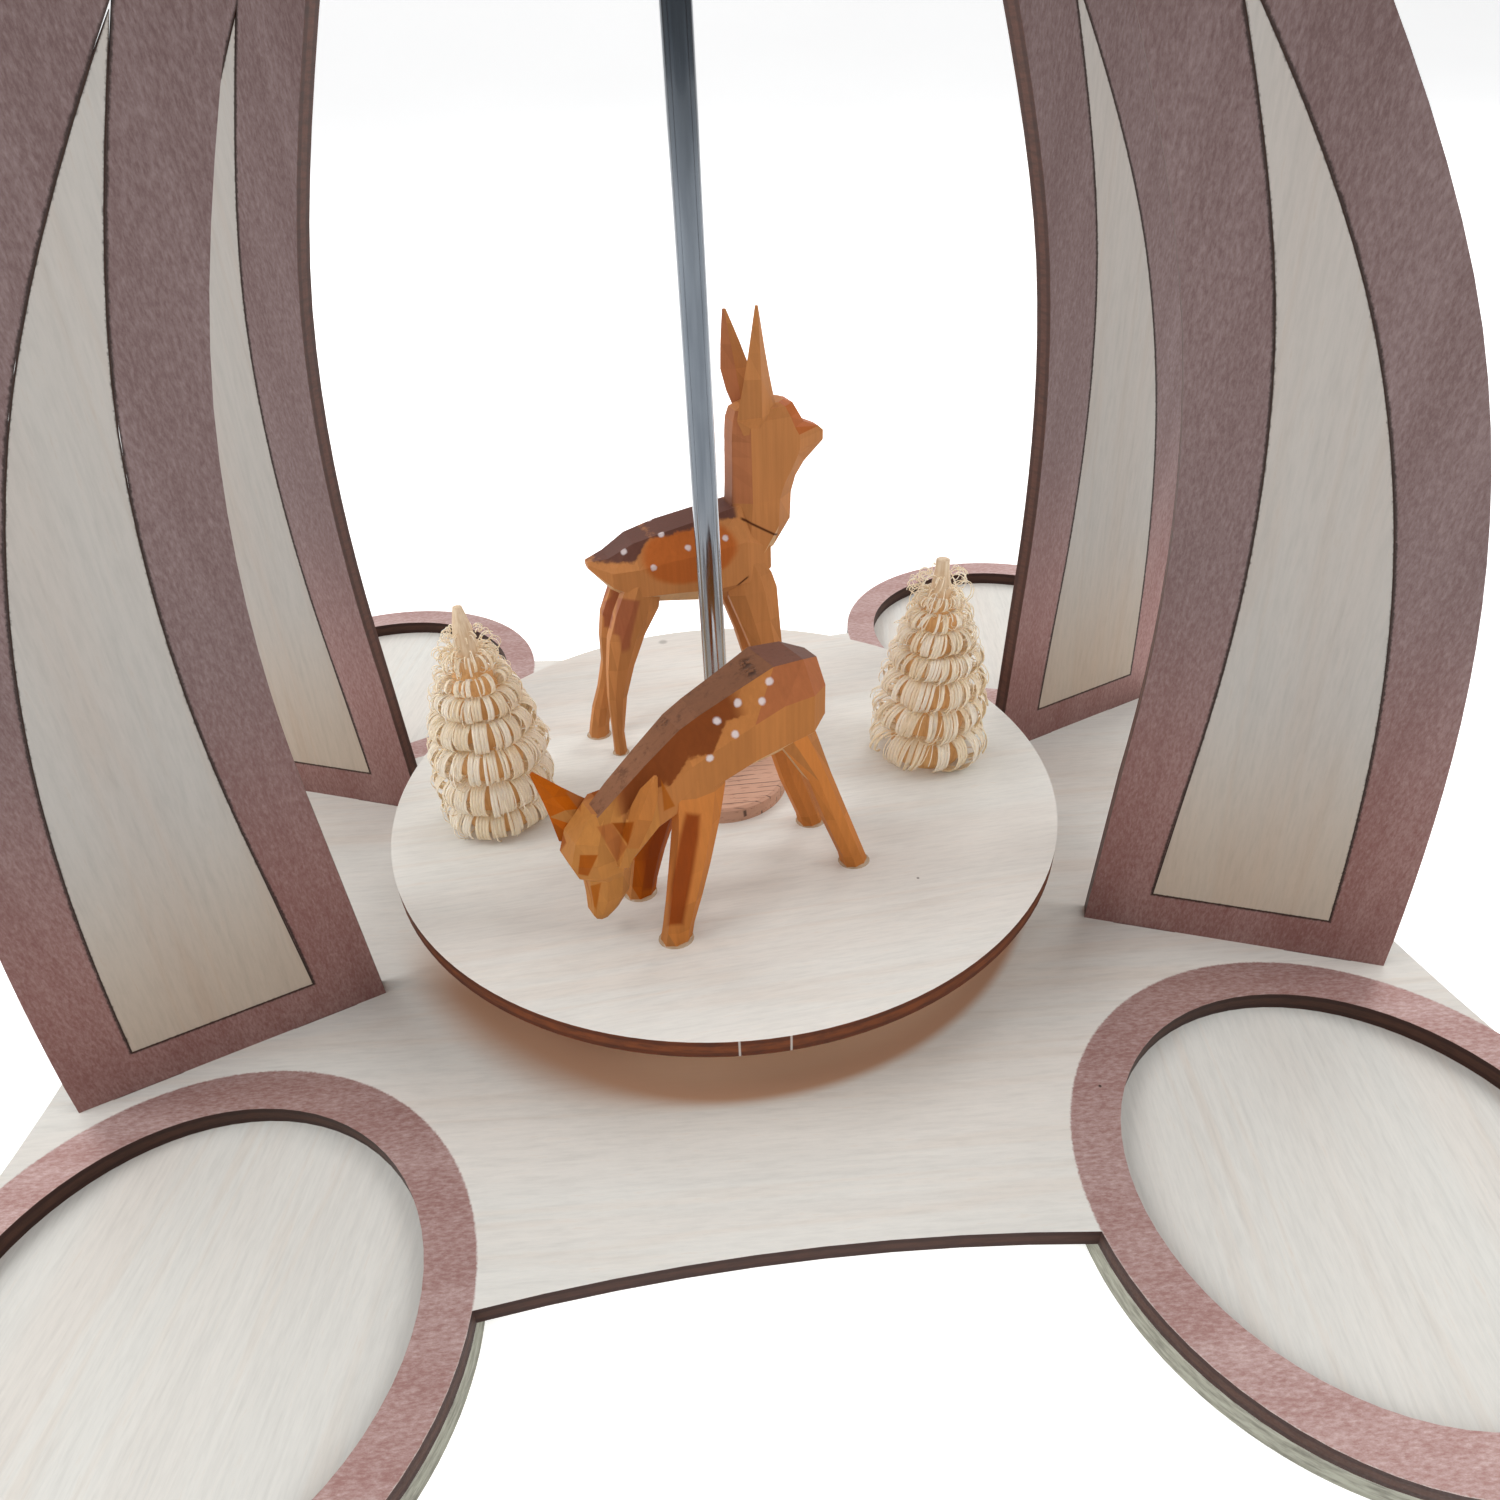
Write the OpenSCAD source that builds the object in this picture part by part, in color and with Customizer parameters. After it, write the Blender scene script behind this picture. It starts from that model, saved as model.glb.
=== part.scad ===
// A table-top candle carousel: warm air from four candles turns a rotor, and the rotor turns
// a small stage with two carved fawns and two ring trees. Millimetres, +Z up.
// The origin lies on the table, under the middle of the spindle.

/* [Base] */
// Radius of the round lobe about each candle seat
lobe_r = 39; // [36:0.5:44]
// Radius of the candle seat
seat_r = 32; // [26:0.5:34]
// Thickness of the base plate
base_t = 3.2; // [2.5:0.1:5]
// Distance by which the lobes stand out past the middle of the left and right edges
lobe_out = 11.25; // [9:0.25:14]
// Distance of the front and rear edges' middles outside the middles of the candle seats
front_set = 0.75; // [0:0.25:10]
// Room between an upright's outer foot and the middle of the left or right edge
edge_margin = 1.75; // [1:0.25:12]
// Radius of the shallow hollow in each edge
edge_arc_r = 320; // [250:5:450]
// Thickness of the foot disc under each lobe
foot_t = 4; // [3:0.5:10]

/* [Uprights] */
// Angle between an upright and the left-right axis
upright_angle = 22.5; // [20:0.5:25]
// Thickness of the uprights
upright_t = 3.2; // [2.5:0.1:4]
// Height of the shoulder that carries the crown, above the base plate
upright_h = 150; // [144:1:158]
// Room between the turntable and the uprights
deck_clear = 7.2; // [5:0.2:14]
// Width of an upright at its foot
upright_w = 47.8; // [40:0.2:60]
// Width of an upright at the crown
crown_w = 17.5; // [14:0.5:24]
// Height up to which the inner edge is straight
inner_straight = 30; // [20:1:40]
// Distance by which the inner edge curves in from there to the crown
inner_lean = 25; // [15:0.5:32]
// Depth of the widest point of the outer edge below the base plate's top
outer_drop = 12; // [6:1:18]
// Width of the painted border beside the inlay
border = 9.8; // [8:0.2:11]
// Width of the painted border under the inlay
foot_border = 7.8; // [6:0.2:12]
// Least width of the painted border over the inlay
head_border = 5; // [4:0.5:12]
// Width of the saw line between the border and its inlay
kerf = 0.2; // [0.1:0.05:0.4]
// Length of each tenon
tenon_w = 10; // [6:0.5:12]
// Room around a tenon in its slot
tenon_gap = 0.1; // [0.05:0.05:0.3]

/* [Turntable] */
// Radius of the turntable
deck_r = 60; // [52:0.5:62]
// Thickness of the turntable
deck_t = 3.2; // [2.5:0.1:5]
// Clear height between the base plate and the turntable
deck_gap = 14.2; // [12:0.2:20]
// Radius of the hub on the turntable
hub_r = 12; // [9:0.5:13]
// Thickness of the hub on the turntable
hub_t = 3; // [2:0.5:5]

/* [Spindle and bearings] */
// Diameter of the spindle
rod_d = 4; // [3:0.1:5]
// Length of the spindle's point
tip_h = 3.4; // [2:0.2:4]
// Radius of the flat end of the point
tip_r = 0.4; // [0.3:0.1:0.8]
// Radial room of the spindle in its two bearings
running_gap = 0.05; // [0.02:0.01:0.1]
// Radial room for glue on the spindle and in the blade pegs
glue_gap = 0.02; // [0.01:0.01:0.05]
// Radius of the bearing block
block_r = 12; // [9:0.5:16]
// Height of the bearing block above the base plate
block_h = 8; // [7:0.5:11]
// Radius of the block's spigot in the base plate
spigot_r = 6; // [5.5:0.5:8]
// Radius of the bearing cup
cup_r = 4; // [3.5:0.1:5]
// Height of the bearing cup
cup_h = 5.5; // [5:0.1:6.5]
// Height of the cup's plain bore above its cone
cup_land = 1; // [0.6:0.1:1.4]

/* [Crown] */
// Width of the crown plate outside the uprights
crown_rim = 6.3; // [4:0.1:12]
// Thickness of the crown plate
crown_t = 3.2; // [2.5:0.1:5]
// Half the width of the crown plate at its waist
crown_waist = 15; // [13:0.5:18]
// Radius of the hollow in the crown plate's front and rear edges
crown_bite_r = 88; // [80:1:100]
// Radius of the scoop between two arms
scoop_r = 14; // [10:0.5:15]
// Distance of that scoop's middle inside the crown plate's rim
scoop_in = 8; // [3:0.5:12]
// Radius of the guide bush's body
bush_r = 4; // [3.5:0.1:5]
// Radius of the guide bush's flange
bush_flange_r = 6.5; // [5.5:0.1:8]
// Thickness of the guide bush's flange
bush_flange_t = 1.2; // [0.8:0.1:2]

/* [Rotor] */
// Radius of the rotor over its blade tips
rotor_r = 122; // [100:1:130]
// Clear height between the crown plate and the rotor hub
rotor_lift = 18; // [16:1:40]
// Radius of the rotor hub
rotor_hub_r = 17; // [15:0.5:24]
// Height of the rotor hub
rotor_hub_h = 14; // [10:0.5:20]
// Radius of the blade pegs
peg_r = 2.5; // [2:0.1:2.8]
// Depth of a peg's socket in the rotor hub
peg_seat = 8.5; // [6:0.5:9]
// Length of a peg outside the rotor hub
peg_out = 14; // [10:1:20]
// Radial room of a peg in its socket
peg_gap = 0.06; // [0.03:0.01:0.1]
// Room between the rotor hub and a blade's root
blade_room = 3; // [2:0.5:5]
// Thickness of the blades
blade_t = 1.6; // [1:0.1:2]
// Width of a blade at its root
blade_root_w = 11; // [8:0.5:12]
// Width of a blade near its tip
blade_tip_w = 38; // [24:1:44]
// Radius of a blade's outer corners
blade_corner_r = 9; // [4:0.5:11]
// Angle of the blades from level
blade_pitch = 35; // [15:1:60]
// Greatest radius of the finial
finial_r = 8; // [6:0.5:12]
// Height of the finial
finial_h = 17; // [14:0.5:24]
// Depth of the rod's hole in the finial
finial_seat = 6; // [4:0.5:8]

/* [Figures] */
// Height of the standing fawn up to its ear tips
standing_h = 77; // [60:0.5:84]
// Distance of the standing fawn to the left of the spindle
standing_left = 4.5; // [0:0.5:8]
// Distance of the standing fawn behind the spindle
standing_back = 22; // [20:0.5:26]
// Heading of the standing fawn, counter-clockwise from the right
standing_heading = 15; // [0:1:25]
// Height of the grazing fawn over its hips
grazing_h = 40.2; // [36:0.1:46]
// Distance of the grazing fawn to the right of the spindle
grazing_right = 1.5; // [0:0.5:4]
// Distance of the grazing fawn in front of the spindle
grazing_front = 26.3; // [26:0.1:30]
// Heading of the grazing fawn, counter-clockwise from the right
grazing_heading = 204.4; // [195:0.2:215]
// Height of the ring trees
tree_h = 40; // [30:0.5:46]
// Radius of the ring trees over their widest curls
tree_r = 10.5; // [8:0.5:12]
// Distance of the left ring tree's axis in from the turntable's rim
tree_left_in = 19.7; // [14:0.1:22]
// Distance of the right ring tree's axis in from the turntable's rim
tree_right_in = 20; // [14:0.1:22]
// Angle of the left ring tree, counter-clockwise from the right
tree_left_angle = 183; // [170:1:190]
// Angle of the right ring tree, counter-clockwise from the right
tree_right_angle = 6; // [0:1:20]

/* [Hidden] */
$fn = 96;

// Colours of the bare plywood, its paint, the turned beech, the stain and the metals
BARE = "#e6dccb";
MAUVE = "#9a7472";
BEECH = "#d2a58c";
STAIN = "#cc7a32";
SHAVING = "#ecd9b0";
STEEL = "#a9adb3";
BRASS = "#c2a24f";

// Fineness of the wide flat arcs of the laser-cut plates
WIDE_FN = 480;
// Room by which a cut runs past the face that it opens
past = 1;

// Corners in the order rear right, rear left, front left, front right
CORNERS = ["rr", "rl", "fl", "fr"];
CORNER_SIGNS = [[1, 1], [-1, 1], [-1, -1], [1, -1]];
BLADES = 8;

rod_r = rod_d / 2;
base_top = foot_t + base_t;
crown_z = base_top + upright_h;
crown_top = crown_z + crown_t;
deck_z = base_top + deck_gap;
deck_top = deck_z + deck_t;
hub_z = crown_top + rotor_lift;
peg_z = hub_z + rotor_hub_h / 2;
rotor_top = hub_z + rotor_hub_h;
rod_top = rotor_top + finial_seat - glue_gap;
blade_root = rotor_hub_r + blade_room;
tree_left_reach = deck_r - tree_left_in;
tree_right_reach = deck_r - tree_right_in;

// The cup stands in the block, and the spindle's point stands in the cup
cup_z = base_top + block_h - cup_h;
cup_floor = cup_z + cup_h - tip_h - cup_land;
rod_foot = cup_floor + running_gap;

// The uprights stand around the turntable and lean in to the crown
inner_foot = deck_r + deck_clear;
outer_foot = inner_foot + upright_w;
crown_inner = inner_foot - inner_lean;
crown_outer = crown_inner + crown_w;
crown_tenon = (crown_inner + crown_outer) / 2;
crown_r = crown_outer + crown_rim;
scoop_reach = crown_r - scoop_in;

// Both edges of an upright are arcs that start upright: their radii, and their axes' distances
function arc_radius(rise, lean) = (rise * rise + lean * lean) / (2 * lean);
inner_arc_r = arc_radius(upright_h - inner_straight, inner_lean);
outer_arc_r = arc_radius(upright_h + outer_drop, outer_foot - crown_outer);
inner_axis = inner_foot - inner_arc_r;
outer_axis = outer_foot - outer_arc_r;
foot_outer = outer_axis + sqrt(outer_arc_r * outer_arc_r - outer_drop * outer_drop);
foot_tenons = [inner_foot + tenon_w, foot_outer - tenon_w];

// The base plate carries the uprights, and its lobes stand out at the four corners
side_reach = outer_foot * cos(upright_angle) + edge_margin;
candle_c = side_reach + lobe_out - lobe_r;
front_reach = candle_c + front_set;

// Where a circle of radius r about p and one of radius s about q meet, on the left going from p to q
function meet(p, r, q, s) =
    let (d = norm(q - p), a = (d * d + r * r - s * s) / (2 * d), h = sqrt(r * r - a * a))
    let (u = (q - p) / d)
    p + a * u + h * [-u[1], u[0]];

// Notches between the edges' hollows and the front right lobe
front_notch = meet([candle_c, -candle_c], lobe_r, [0, -front_reach - edge_arc_r], edge_arc_r);
side_notch = meet([side_reach + edge_arc_r, 0], edge_arc_r, [candle_c, -candle_c], lobe_r);

// Upright angle of corner i
function upright_turn(i) =
    let (s = CORNER_SIGNS[i])
    (s[0] > 0 ? 0 : 180) + s[0] * s[1] * upright_angle;

// Turns an outline of distance and height into a plate that stands along a radius
module radial_plate(turn, t) {
    rotate([0, 0, turn])
        rotate([90, 0, 0])
            linear_extrude(t, center = true)
                children();
}

// Outline of an upright above the base plate, drawn in by an inset, between two heights
module upright_outline(inset, low, high) {
    difference() {
        intersection() {
            translate([outer_axis, -outer_drop]) circle(outer_arc_r - inset, $fn = WIDE_FN);
            translate([0, low]) square([outer_foot, high - low]);
        }
        translate([inner_axis, inner_straight]) circle(inner_arc_r + inset, $fn = WIDE_FN);
        translate([0, low - past]) square([inner_foot + inset, inner_straight - low + past]);
    }
}

// Footprints of one upright's tenons in a plate, with room around them
module tenon_slots(turn, places, room) {
    rotate([0, 0, turn])
        for (p = places)
            translate([p, 0])
                square([tenon_w + 2 * room, upright_t + 2 * room], center = true);
}

module base_plate() {
    color(BARE)
    translate([0, 0, foot_t])
    difference() {
        linear_extrude(base_t) base_outline();
        for (s = CORNER_SIGNS)
            translate([s[0] * candle_c, s[1] * candle_c, -past])
                cylinder(base_t + 2 * past, seat_r, seat_r);
        for (i = [0 : 3])
            translate([0, 0, -past])
                linear_extrude(base_t + 2 * past)
                    tenon_slots(upright_turn(i), foot_tenons, tenon_gap);
        translate([0, 0, -past]) cylinder(base_t + 2 * past, spigot_r, spigot_r);
    }
}

module base_outline() {
    f = front_notch;
    s = side_notch;
    difference() {
        polygon([f, s, [s[0], -s[1]], [f[0], -f[1]], -f, -s, [-s[0], s[1]], [-f[0], f[1]]]);
        for (side = [-1, 1]) {
            translate([0, side * (front_reach + edge_arc_r)]) circle(edge_arc_r, $fn = WIDE_FN);
            translate([side * (side_reach + edge_arc_r), 0]) circle(edge_arc_r, $fn = WIDE_FN);
        }
    }
    for (c = CORNER_SIGNS)
        translate(candle_c * c) circle(lobe_r, $fn = 2 * $fn);
}

module foot_disc(i) {
    color(BARE)
    translate(candle_c * CORNER_SIGNS[i])
        cylinder(foot_t, lobe_r, lobe_r, $fn = 2 * $fn);
}

module upright_frame(i) {
    color(MAUVE)
    translate([0, 0, base_top])
        radial_plate(upright_turn(i), upright_t)
            difference() {
                union() {
                    upright_outline(0, 0, upright_h);
                    for (p = foot_tenons)
                        translate([p - tenon_w / 2, -base_t]) square([tenon_w, base_t + past]);
                    translate([crown_tenon - tenon_w / 2, upright_h - past])
                        square([tenon_w, crown_t + past]);
                }
                upright_outline(border, foot_border, upright_h - head_border);
            }
}

module upright_inlay(i) {
    color(BARE)
    translate([0, 0, base_top])
        radial_plate(upright_turn(i), upright_t)
            upright_outline(border + kerf, foot_border + kerf, upright_h - head_border - kerf);
}

module bearing_block() {
    neck_r = spigot_r - glue_gap;
    ease = 0.15 * block_r;
    top = base_top + block_h;
    color(BEECH)
    difference() {
        rotate_extrude()
            polygon([[0, foot_t], [neck_r, foot_t], [neck_r, base_top], [block_r, base_top],
                [block_r, top - ease], [block_r - ease, top], [0, top]]);
        translate([0, 0, cup_z]) cylinder(cup_h + past, cup_r + glue_gap, cup_r + glue_gap);
    }
}

module bearing_cup() {
    rim = cup_z + cup_h;
    bore = rod_r + running_gap;
    color(BRASS)
    difference() {
        translate([0, 0, cup_z]) cylinder(cup_h, cup_r, cup_r);
        translate([0, 0, cup_floor]) cylinder(tip_h, tip_r + running_gap, bore);
        translate([0, 0, cup_floor + tip_h]) cylinder(rim - cup_floor - tip_h + past, bore, bore);
    }
}

module crown_plate() {
    color(MAUVE)
    translate([0, 0, crown_z])
        linear_extrude(crown_t)
            difference() {
                circle(crown_r, $fn = WIDE_FN);
                for (side = [-1, 1]) {
                    translate([0, side * (crown_waist + crown_bite_r)]) circle(crown_bite_r, $fn = WIDE_FN);
                    translate([side * scoop_reach, 0]) circle(scoop_r);
                    translate([side * (scoop_reach + scoop_r), 0]) square(2 * scoop_r, center = true);
                }
                for (i = [0 : 3])
                    tenon_slots(upright_turn(i), [crown_tenon], tenon_gap);
                circle(bush_r + glue_gap);
            }
}

module crown_bush() {
    bore = rod_r + running_gap;
    color(BRASS)
        rotate_extrude()
            polygon([[bore, crown_z], [bush_r, crown_z], [bush_r, crown_top],
                [bush_flange_r, crown_top], [bush_flange_r, crown_top + bush_flange_t],
                [bore, crown_top + bush_flange_t]]);
}

module spindle() {
    color(STEEL)
        rotate_extrude()
            polygon([[0, rod_foot], [tip_r, rod_foot], [rod_r, rod_foot + tip_h], [rod_r, rod_top],
                [0, rod_top]]);
}

module turntable() {
    color(BARE)
    translate([0, 0, deck_z])
    difference() {
        cylinder(deck_t, deck_r, deck_r, $fn = 2 * $fn);
        translate([0, 0, -past]) cylinder(deck_t + 2 * past, rod_r + glue_gap, rod_r + glue_gap);
    }
}

module turntable_hub() {
    ease = 0.15 * hub_t;
    bore = rod_r + glue_gap;
    color(BEECH)
    translate([0, 0, deck_top])
        rotate_extrude()
            polygon([[bore, 0], [hub_r, 0], [hub_r, hub_t - ease], [hub_r - ease, hub_t], [bore, hub_t]]);
}

module rotor_hub() {
    bore = rod_r + glue_gap;
    h = rotor_hub_h;
    r = rotor_hub_r;
    ease = 0.12 * r;
    socket = peg_r + peg_gap;
    color(BEECH)
    translate([0, 0, hub_z])
    difference() {
        rotate_extrude()
            polygon([[bore, 0], [r - ease, 0], [r, ease], [r, h - ease], [r - ease, h], [bore, h]]);
        for (i = [1 : BLADES])
            rotate([0, 0, blade_turn(i)])
                translate([r - peg_seat, 0, h / 2])
                    rotate([0, 90, 0])
                        cylinder(peg_seat + past, socket, socket, $fn = 48);
    }
}

// A ball on a neck, with a round foot that stands on the rotor hub
module rotor_finial() {
    bore = rod_r + glue_gap;
    neck_r = 1.8 * rod_r;
    foot_r = 0.9 * finial_r;
    foot_h = 0.14 * finial_h;
    ball_h = finial_h - finial_r;
    color(MAUVE)
    translate([0, 0, rotor_top])
    difference() {
        union() {
            cylinder(foot_h, foot_r, foot_r);
            cylinder(ball_h, neck_r, neck_r);
            translate([0, 0, ball_h]) sphere(finial_r);
        }
        translate([0, 0, -past]) cylinder(finial_seat + past, bore, bore);
    }
}

// Angle of blade i about the spindle: the blades stand clear of the left-right axis
function blade_turn(i) = (i - 0.5) * 360 / BLADES;

// Puts a piece that lies along +X at blade i, tilted to the blades' pitch
module at_blade(i) {
    rotate([0, 0, blade_turn(i)])
        translate([0, 0, peg_z])
            rotate([blade_pitch, 0, 0])
                children();
}

module blade_peg(i) {
    start = rotor_hub_r - peg_seat + peg_gap;
    end = rotor_hub_r + peg_out;
    slit = blade_t + 2 * glue_gap;
    color(BEECH)
    at_blade(i)
    difference() {
        translate([start, 0, 0])
            rotate([0, 90, 0]) cylinder(end - start, peg_r, peg_r, $fn = 48);
        translate([blade_root - glue_gap, -peg_r - past, -slit / 2])
            cube([end - blade_root + past, 2 * (peg_r + past), slit]);
    }
}

module blade(i) {
    color(MAUVE)
    at_blade(i)
        translate([0, 0, -blade_t / 2])
            linear_extrude(blade_t)
                blade_outline();
}

// A paddle that widens outwards and ends in two round corners
module blade_outline() {
    r = blade_corner_r;
    c = [rotor_r - r, blade_tip_w / 2 - r];
    run = [c[0] - blade_root, c[1] - blade_root_w / 2];
    // The straight side leaves the root and touches the corner's circle
    lean = atan2(run[1], run[0]) + asin(r / norm(run));
    touch = c + r * [-sin(lean), cos(lean)];
    half = [[rotor_r, c[1]], c, touch, [blade_root, blade_root_w / 2]];
    polygon(concat(half, [for (k = [len(half) - 1 : -1 : 0]) [half[k][0], -half[k][1]]]));
    for (s = [-1, 1])
        translate([c[0], s * c[1]]) circle(r, $fn = 48);
}

// Carved figures are lofted from rings of points, and end flat at both ends
function middle(ring) = [for (k = [0 : 2]) [for (p = ring) p[k]] * [for (p = ring) 1 / len(ring)]];
function turning(ring, k = 0) =
    k == len(ring) ? [0, 0, 0] : cross(ring[k], ring[(k + 1) % len(ring)]) + turning(ring, k + 1);
function backwards(list) = [for (k = [len(list) - 1 : -1 : 0]) list[k]];

module loft(rings) {
    n = len(rings[0]);
    last = len(rings) - 1;
    ahead = (middle(rings[last]) - middle(rings[0])) * turning(rings[0]) < 0;
    points = [for (ring = rings) each ahead ? ring : backwards(ring)];
    sides = [for (k = [0 : last - 1]) for (j = [0 : n - 1])
        let (a = k * n + j, b = k * n + (j + 1) % n)
        each [[a, b, b + n], [a, b + n, a + n]]];
    first_end = [for (j = [n - 1 : -1 : 0]) j];
    last_end = [for (j = [0 : n - 1]) last * n + j];
    polyhedron(points, concat(sides, [first_end, last_end]));
}

// Ring across the body at x, from the belly to the back, with half widths at back, flank and belly
function trunk_ring(x, low, high, back_w, flank_w, belly_w) =
    let (d = high - low, flank_low = low + 0.2 * d, flank_high = high - 0.34 * d)
    [[x, back_w, high], [x, flank_w, flank_high], [x, flank_w, flank_low], [x, belly_w, low],
     [x, -belly_w, low], [x, -flank_w, flank_low], [x, -flank_w, flank_high], [x, -back_w, high]];

// Ring across a neck, head or leg at height z: from rear to front along x, with half widths there
function level_ring(z, y, rear, behind, before, front, rear_w, mid_w, front_w) =
    [[rear, y + rear_w, z], [rear, y - rear_w, z], [behind, y - mid_w, z], [before, y - mid_w, z],
     [front, y - front_w, z], [front, y + front_w, z], [before, y + mid_w, z], [behind, y + mid_w, z]];

module trunk(stations) {
    loft([for (s = stations) trunk_ring(s[0], s[1], s[2], s[3], s[4], s[5])]);
}

// A limb from stations of height, sideways place, rear, front and half width, from the foot upwards
module limb(stations) {
    loft([for (s = stations)
        let (ease = 0.3 * (s[3] - s[2]))
        level_ring(s[0], s[1], s[2], s[2] + ease, s[3] - ease, s[3], 0.5 * s[4], s[4], 0.5 * s[4])]);
}

// The same limb on the other side, when its stations are those of the left one
function across(stations) = [for (s = stations) [s[0], -s[1], s[2], s[3], s[4]]];

// A neck or head from stations of height, the four places along x and the three half widths
module block(y, stations) {
    loft([for (s = stations) level_ring(s[0], y, s[1], s[2], s[3], s[4], s[5], s[6], s[7])]);
}

// An ear from its root to its tip: flat diamonds of half width and half thickness along it
module ear(root, tip, along, shape) {
    axis = tip - root;
    flat = cross(axis, along) / norm(cross(axis, along));
    loft([for (s = shape)
        let (c = root + s[0] * axis)
        [c + s[1] * along, c + s[2] * flat, c - s[1] * along, c - s[2] * flat]]);
}

// A spire, broad where it leaves the head, a leaf, broadest in the middle, and a narrow leaf
SPIRE = [[-0.1, 2.8, 0.4], [0.06, 4.2, 1.4], [0.4, 2.6, 1.3], [0.62, 1.7, 1.0], [0.84, 0.9, 0.6],
    [1, 0.3, 0.3]];
LEAF = [[-0.06, 1.2, 0.8], [0.2, 2.2, 1.2], [0.42, 2.5, 1.2], [0.66, 1.7, 0.9], [0.86, 0.9, 0.6],
    [1, 0.3, 0.3]];
NARROW_LEAF = [[-0.06, 1.2, 0.9], [0.2, 1.5, 1.2], [0.55, 1.8, 1.2], [0.8, 1.4, 0.9], [1, 0.3, 0.3]];

module standing_shape() {
    near_hind = [[0, -4.9, -16.9, -14.6, 1.3], [5, -4.9, -16.8, -14.7, 1.3], [12.5, -4.7, -16.8, -13.3, 1.5],
        [18.6, -4.4, -16.2, -11.2, 1.8], [24.3, -4.0, -15.2, -8.5, 2.1], [29, -3.8, -13.4, -5.4, 2.2],
        [34, -3.9, -11, -4.4, 1.9]];
    far_hind = [[0, 3.0, -19.9, -16.1, 1.8], [2.5, 3.0, -19.4, -15.8, 1.5], [6.4, 3.2, -18.4, -14.8, 1.4],
        [10.5, 3.4, -16.8, -13.9, 1.4], [16, 3.6, -15.3, -12.2, 1.6], [21.3, 3.8, -15, -10.5, 2.0],
        [26, 3.8, -14.2, -8, 2.1], [32, 3.9, -11.5, -4, 1.9]];
    near_front = [[0, -4.2, 14.8, 18.9, 1.9], [2.4, -4.2, 15.2, 18.7, 1.6], [9, -4.2, 14.2, 18.7, 1.7],
        [16, -4.1, 12.4, 18.6, 2.0], [22, -3.9, 10.4, 18.2, 2.1], [28, -3.6, 8.3, 17.9, 2.1],
        [31, -3.4, 8, 17, 2.0], [35, -3.2, 8, 14.5, 1.9]];
    trunk([[-16.5, 37, 38.2, 0.8, 1.2, 0.6],
           [-13, 32.8, 38.8, 2.2, 4.4, 1.8],
           [-8.5, 29.8, 41, 3.0, 5.9, 2.8],
           [-2.5, 29, 42.2, 3.4, 6.2, 3.4],
           [5, 27.6, 43.2, 3.2, 6.2, 3.4],
           [12, 27, 44.2, 2.8, 5.6, 3.0],
           [17.2, 30, 38.5, 1.8, 3.8, 1.8]]);
    // Neck and head in one, up to the crown of the head, with the muzzle on the way
    block(0, [[35, 8.8, 12.4, 15.6, 18.6, 2, 4.4, 1.8],
        [39.6, 9.6, 13.2, 18.6, 22, 2, 4.4, 1.6],
        [44.5, 10.6, 13.8, 19, 22.3, 1.9, 4.1, 1.5],
        [47.3, 10.8, 13.8, 20, 23.2, 1.9, 4.1, 1.5],
        [49.6, 10.9, 13.8, 21.4, 24.9, 1.9, 4.1, 1.4],
        [51.9, 11, 13.8, 22.6, 27.8, 1.9, 4.1, 1.1],
        [52.7, 11, 13.8, 22.9, 28.8, 1.9, 4.1, 1],
        [54.4, 11.1, 13.8, 23, 28.8, 1.9, 4.1, 1],
        [55.3, 11.1, 13.8, 22.8, 27.8, 1.9, 4.1, 1.2],
        [56.7, 11.2, 13.8, 22, 24.7, 1.9, 4.1, 1.7],
        [58.6, 11.4, 13.8, 21.2, 23.5, 1.9, 4.1, 2],
        [60.3, 12, 14.2, 20.4, 22.5, 1.7, 3.6, 1.9],
        [60.9, 13.4, 15, 19.6, 21, 1.2, 2.6, 1.3]]);
    ear([15.2, -3.5, 58.5], [15, -5, 77], [0.97, 0.25, 0], SPIRE);
    ear([15.2, 3.2, 59], [13.2, 5, 75], [0.97, -0.25, 0], LEAF);
    for (stations = [near_hind, far_hind, near_front, across(near_front)])
        limb(stations);
}

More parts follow.
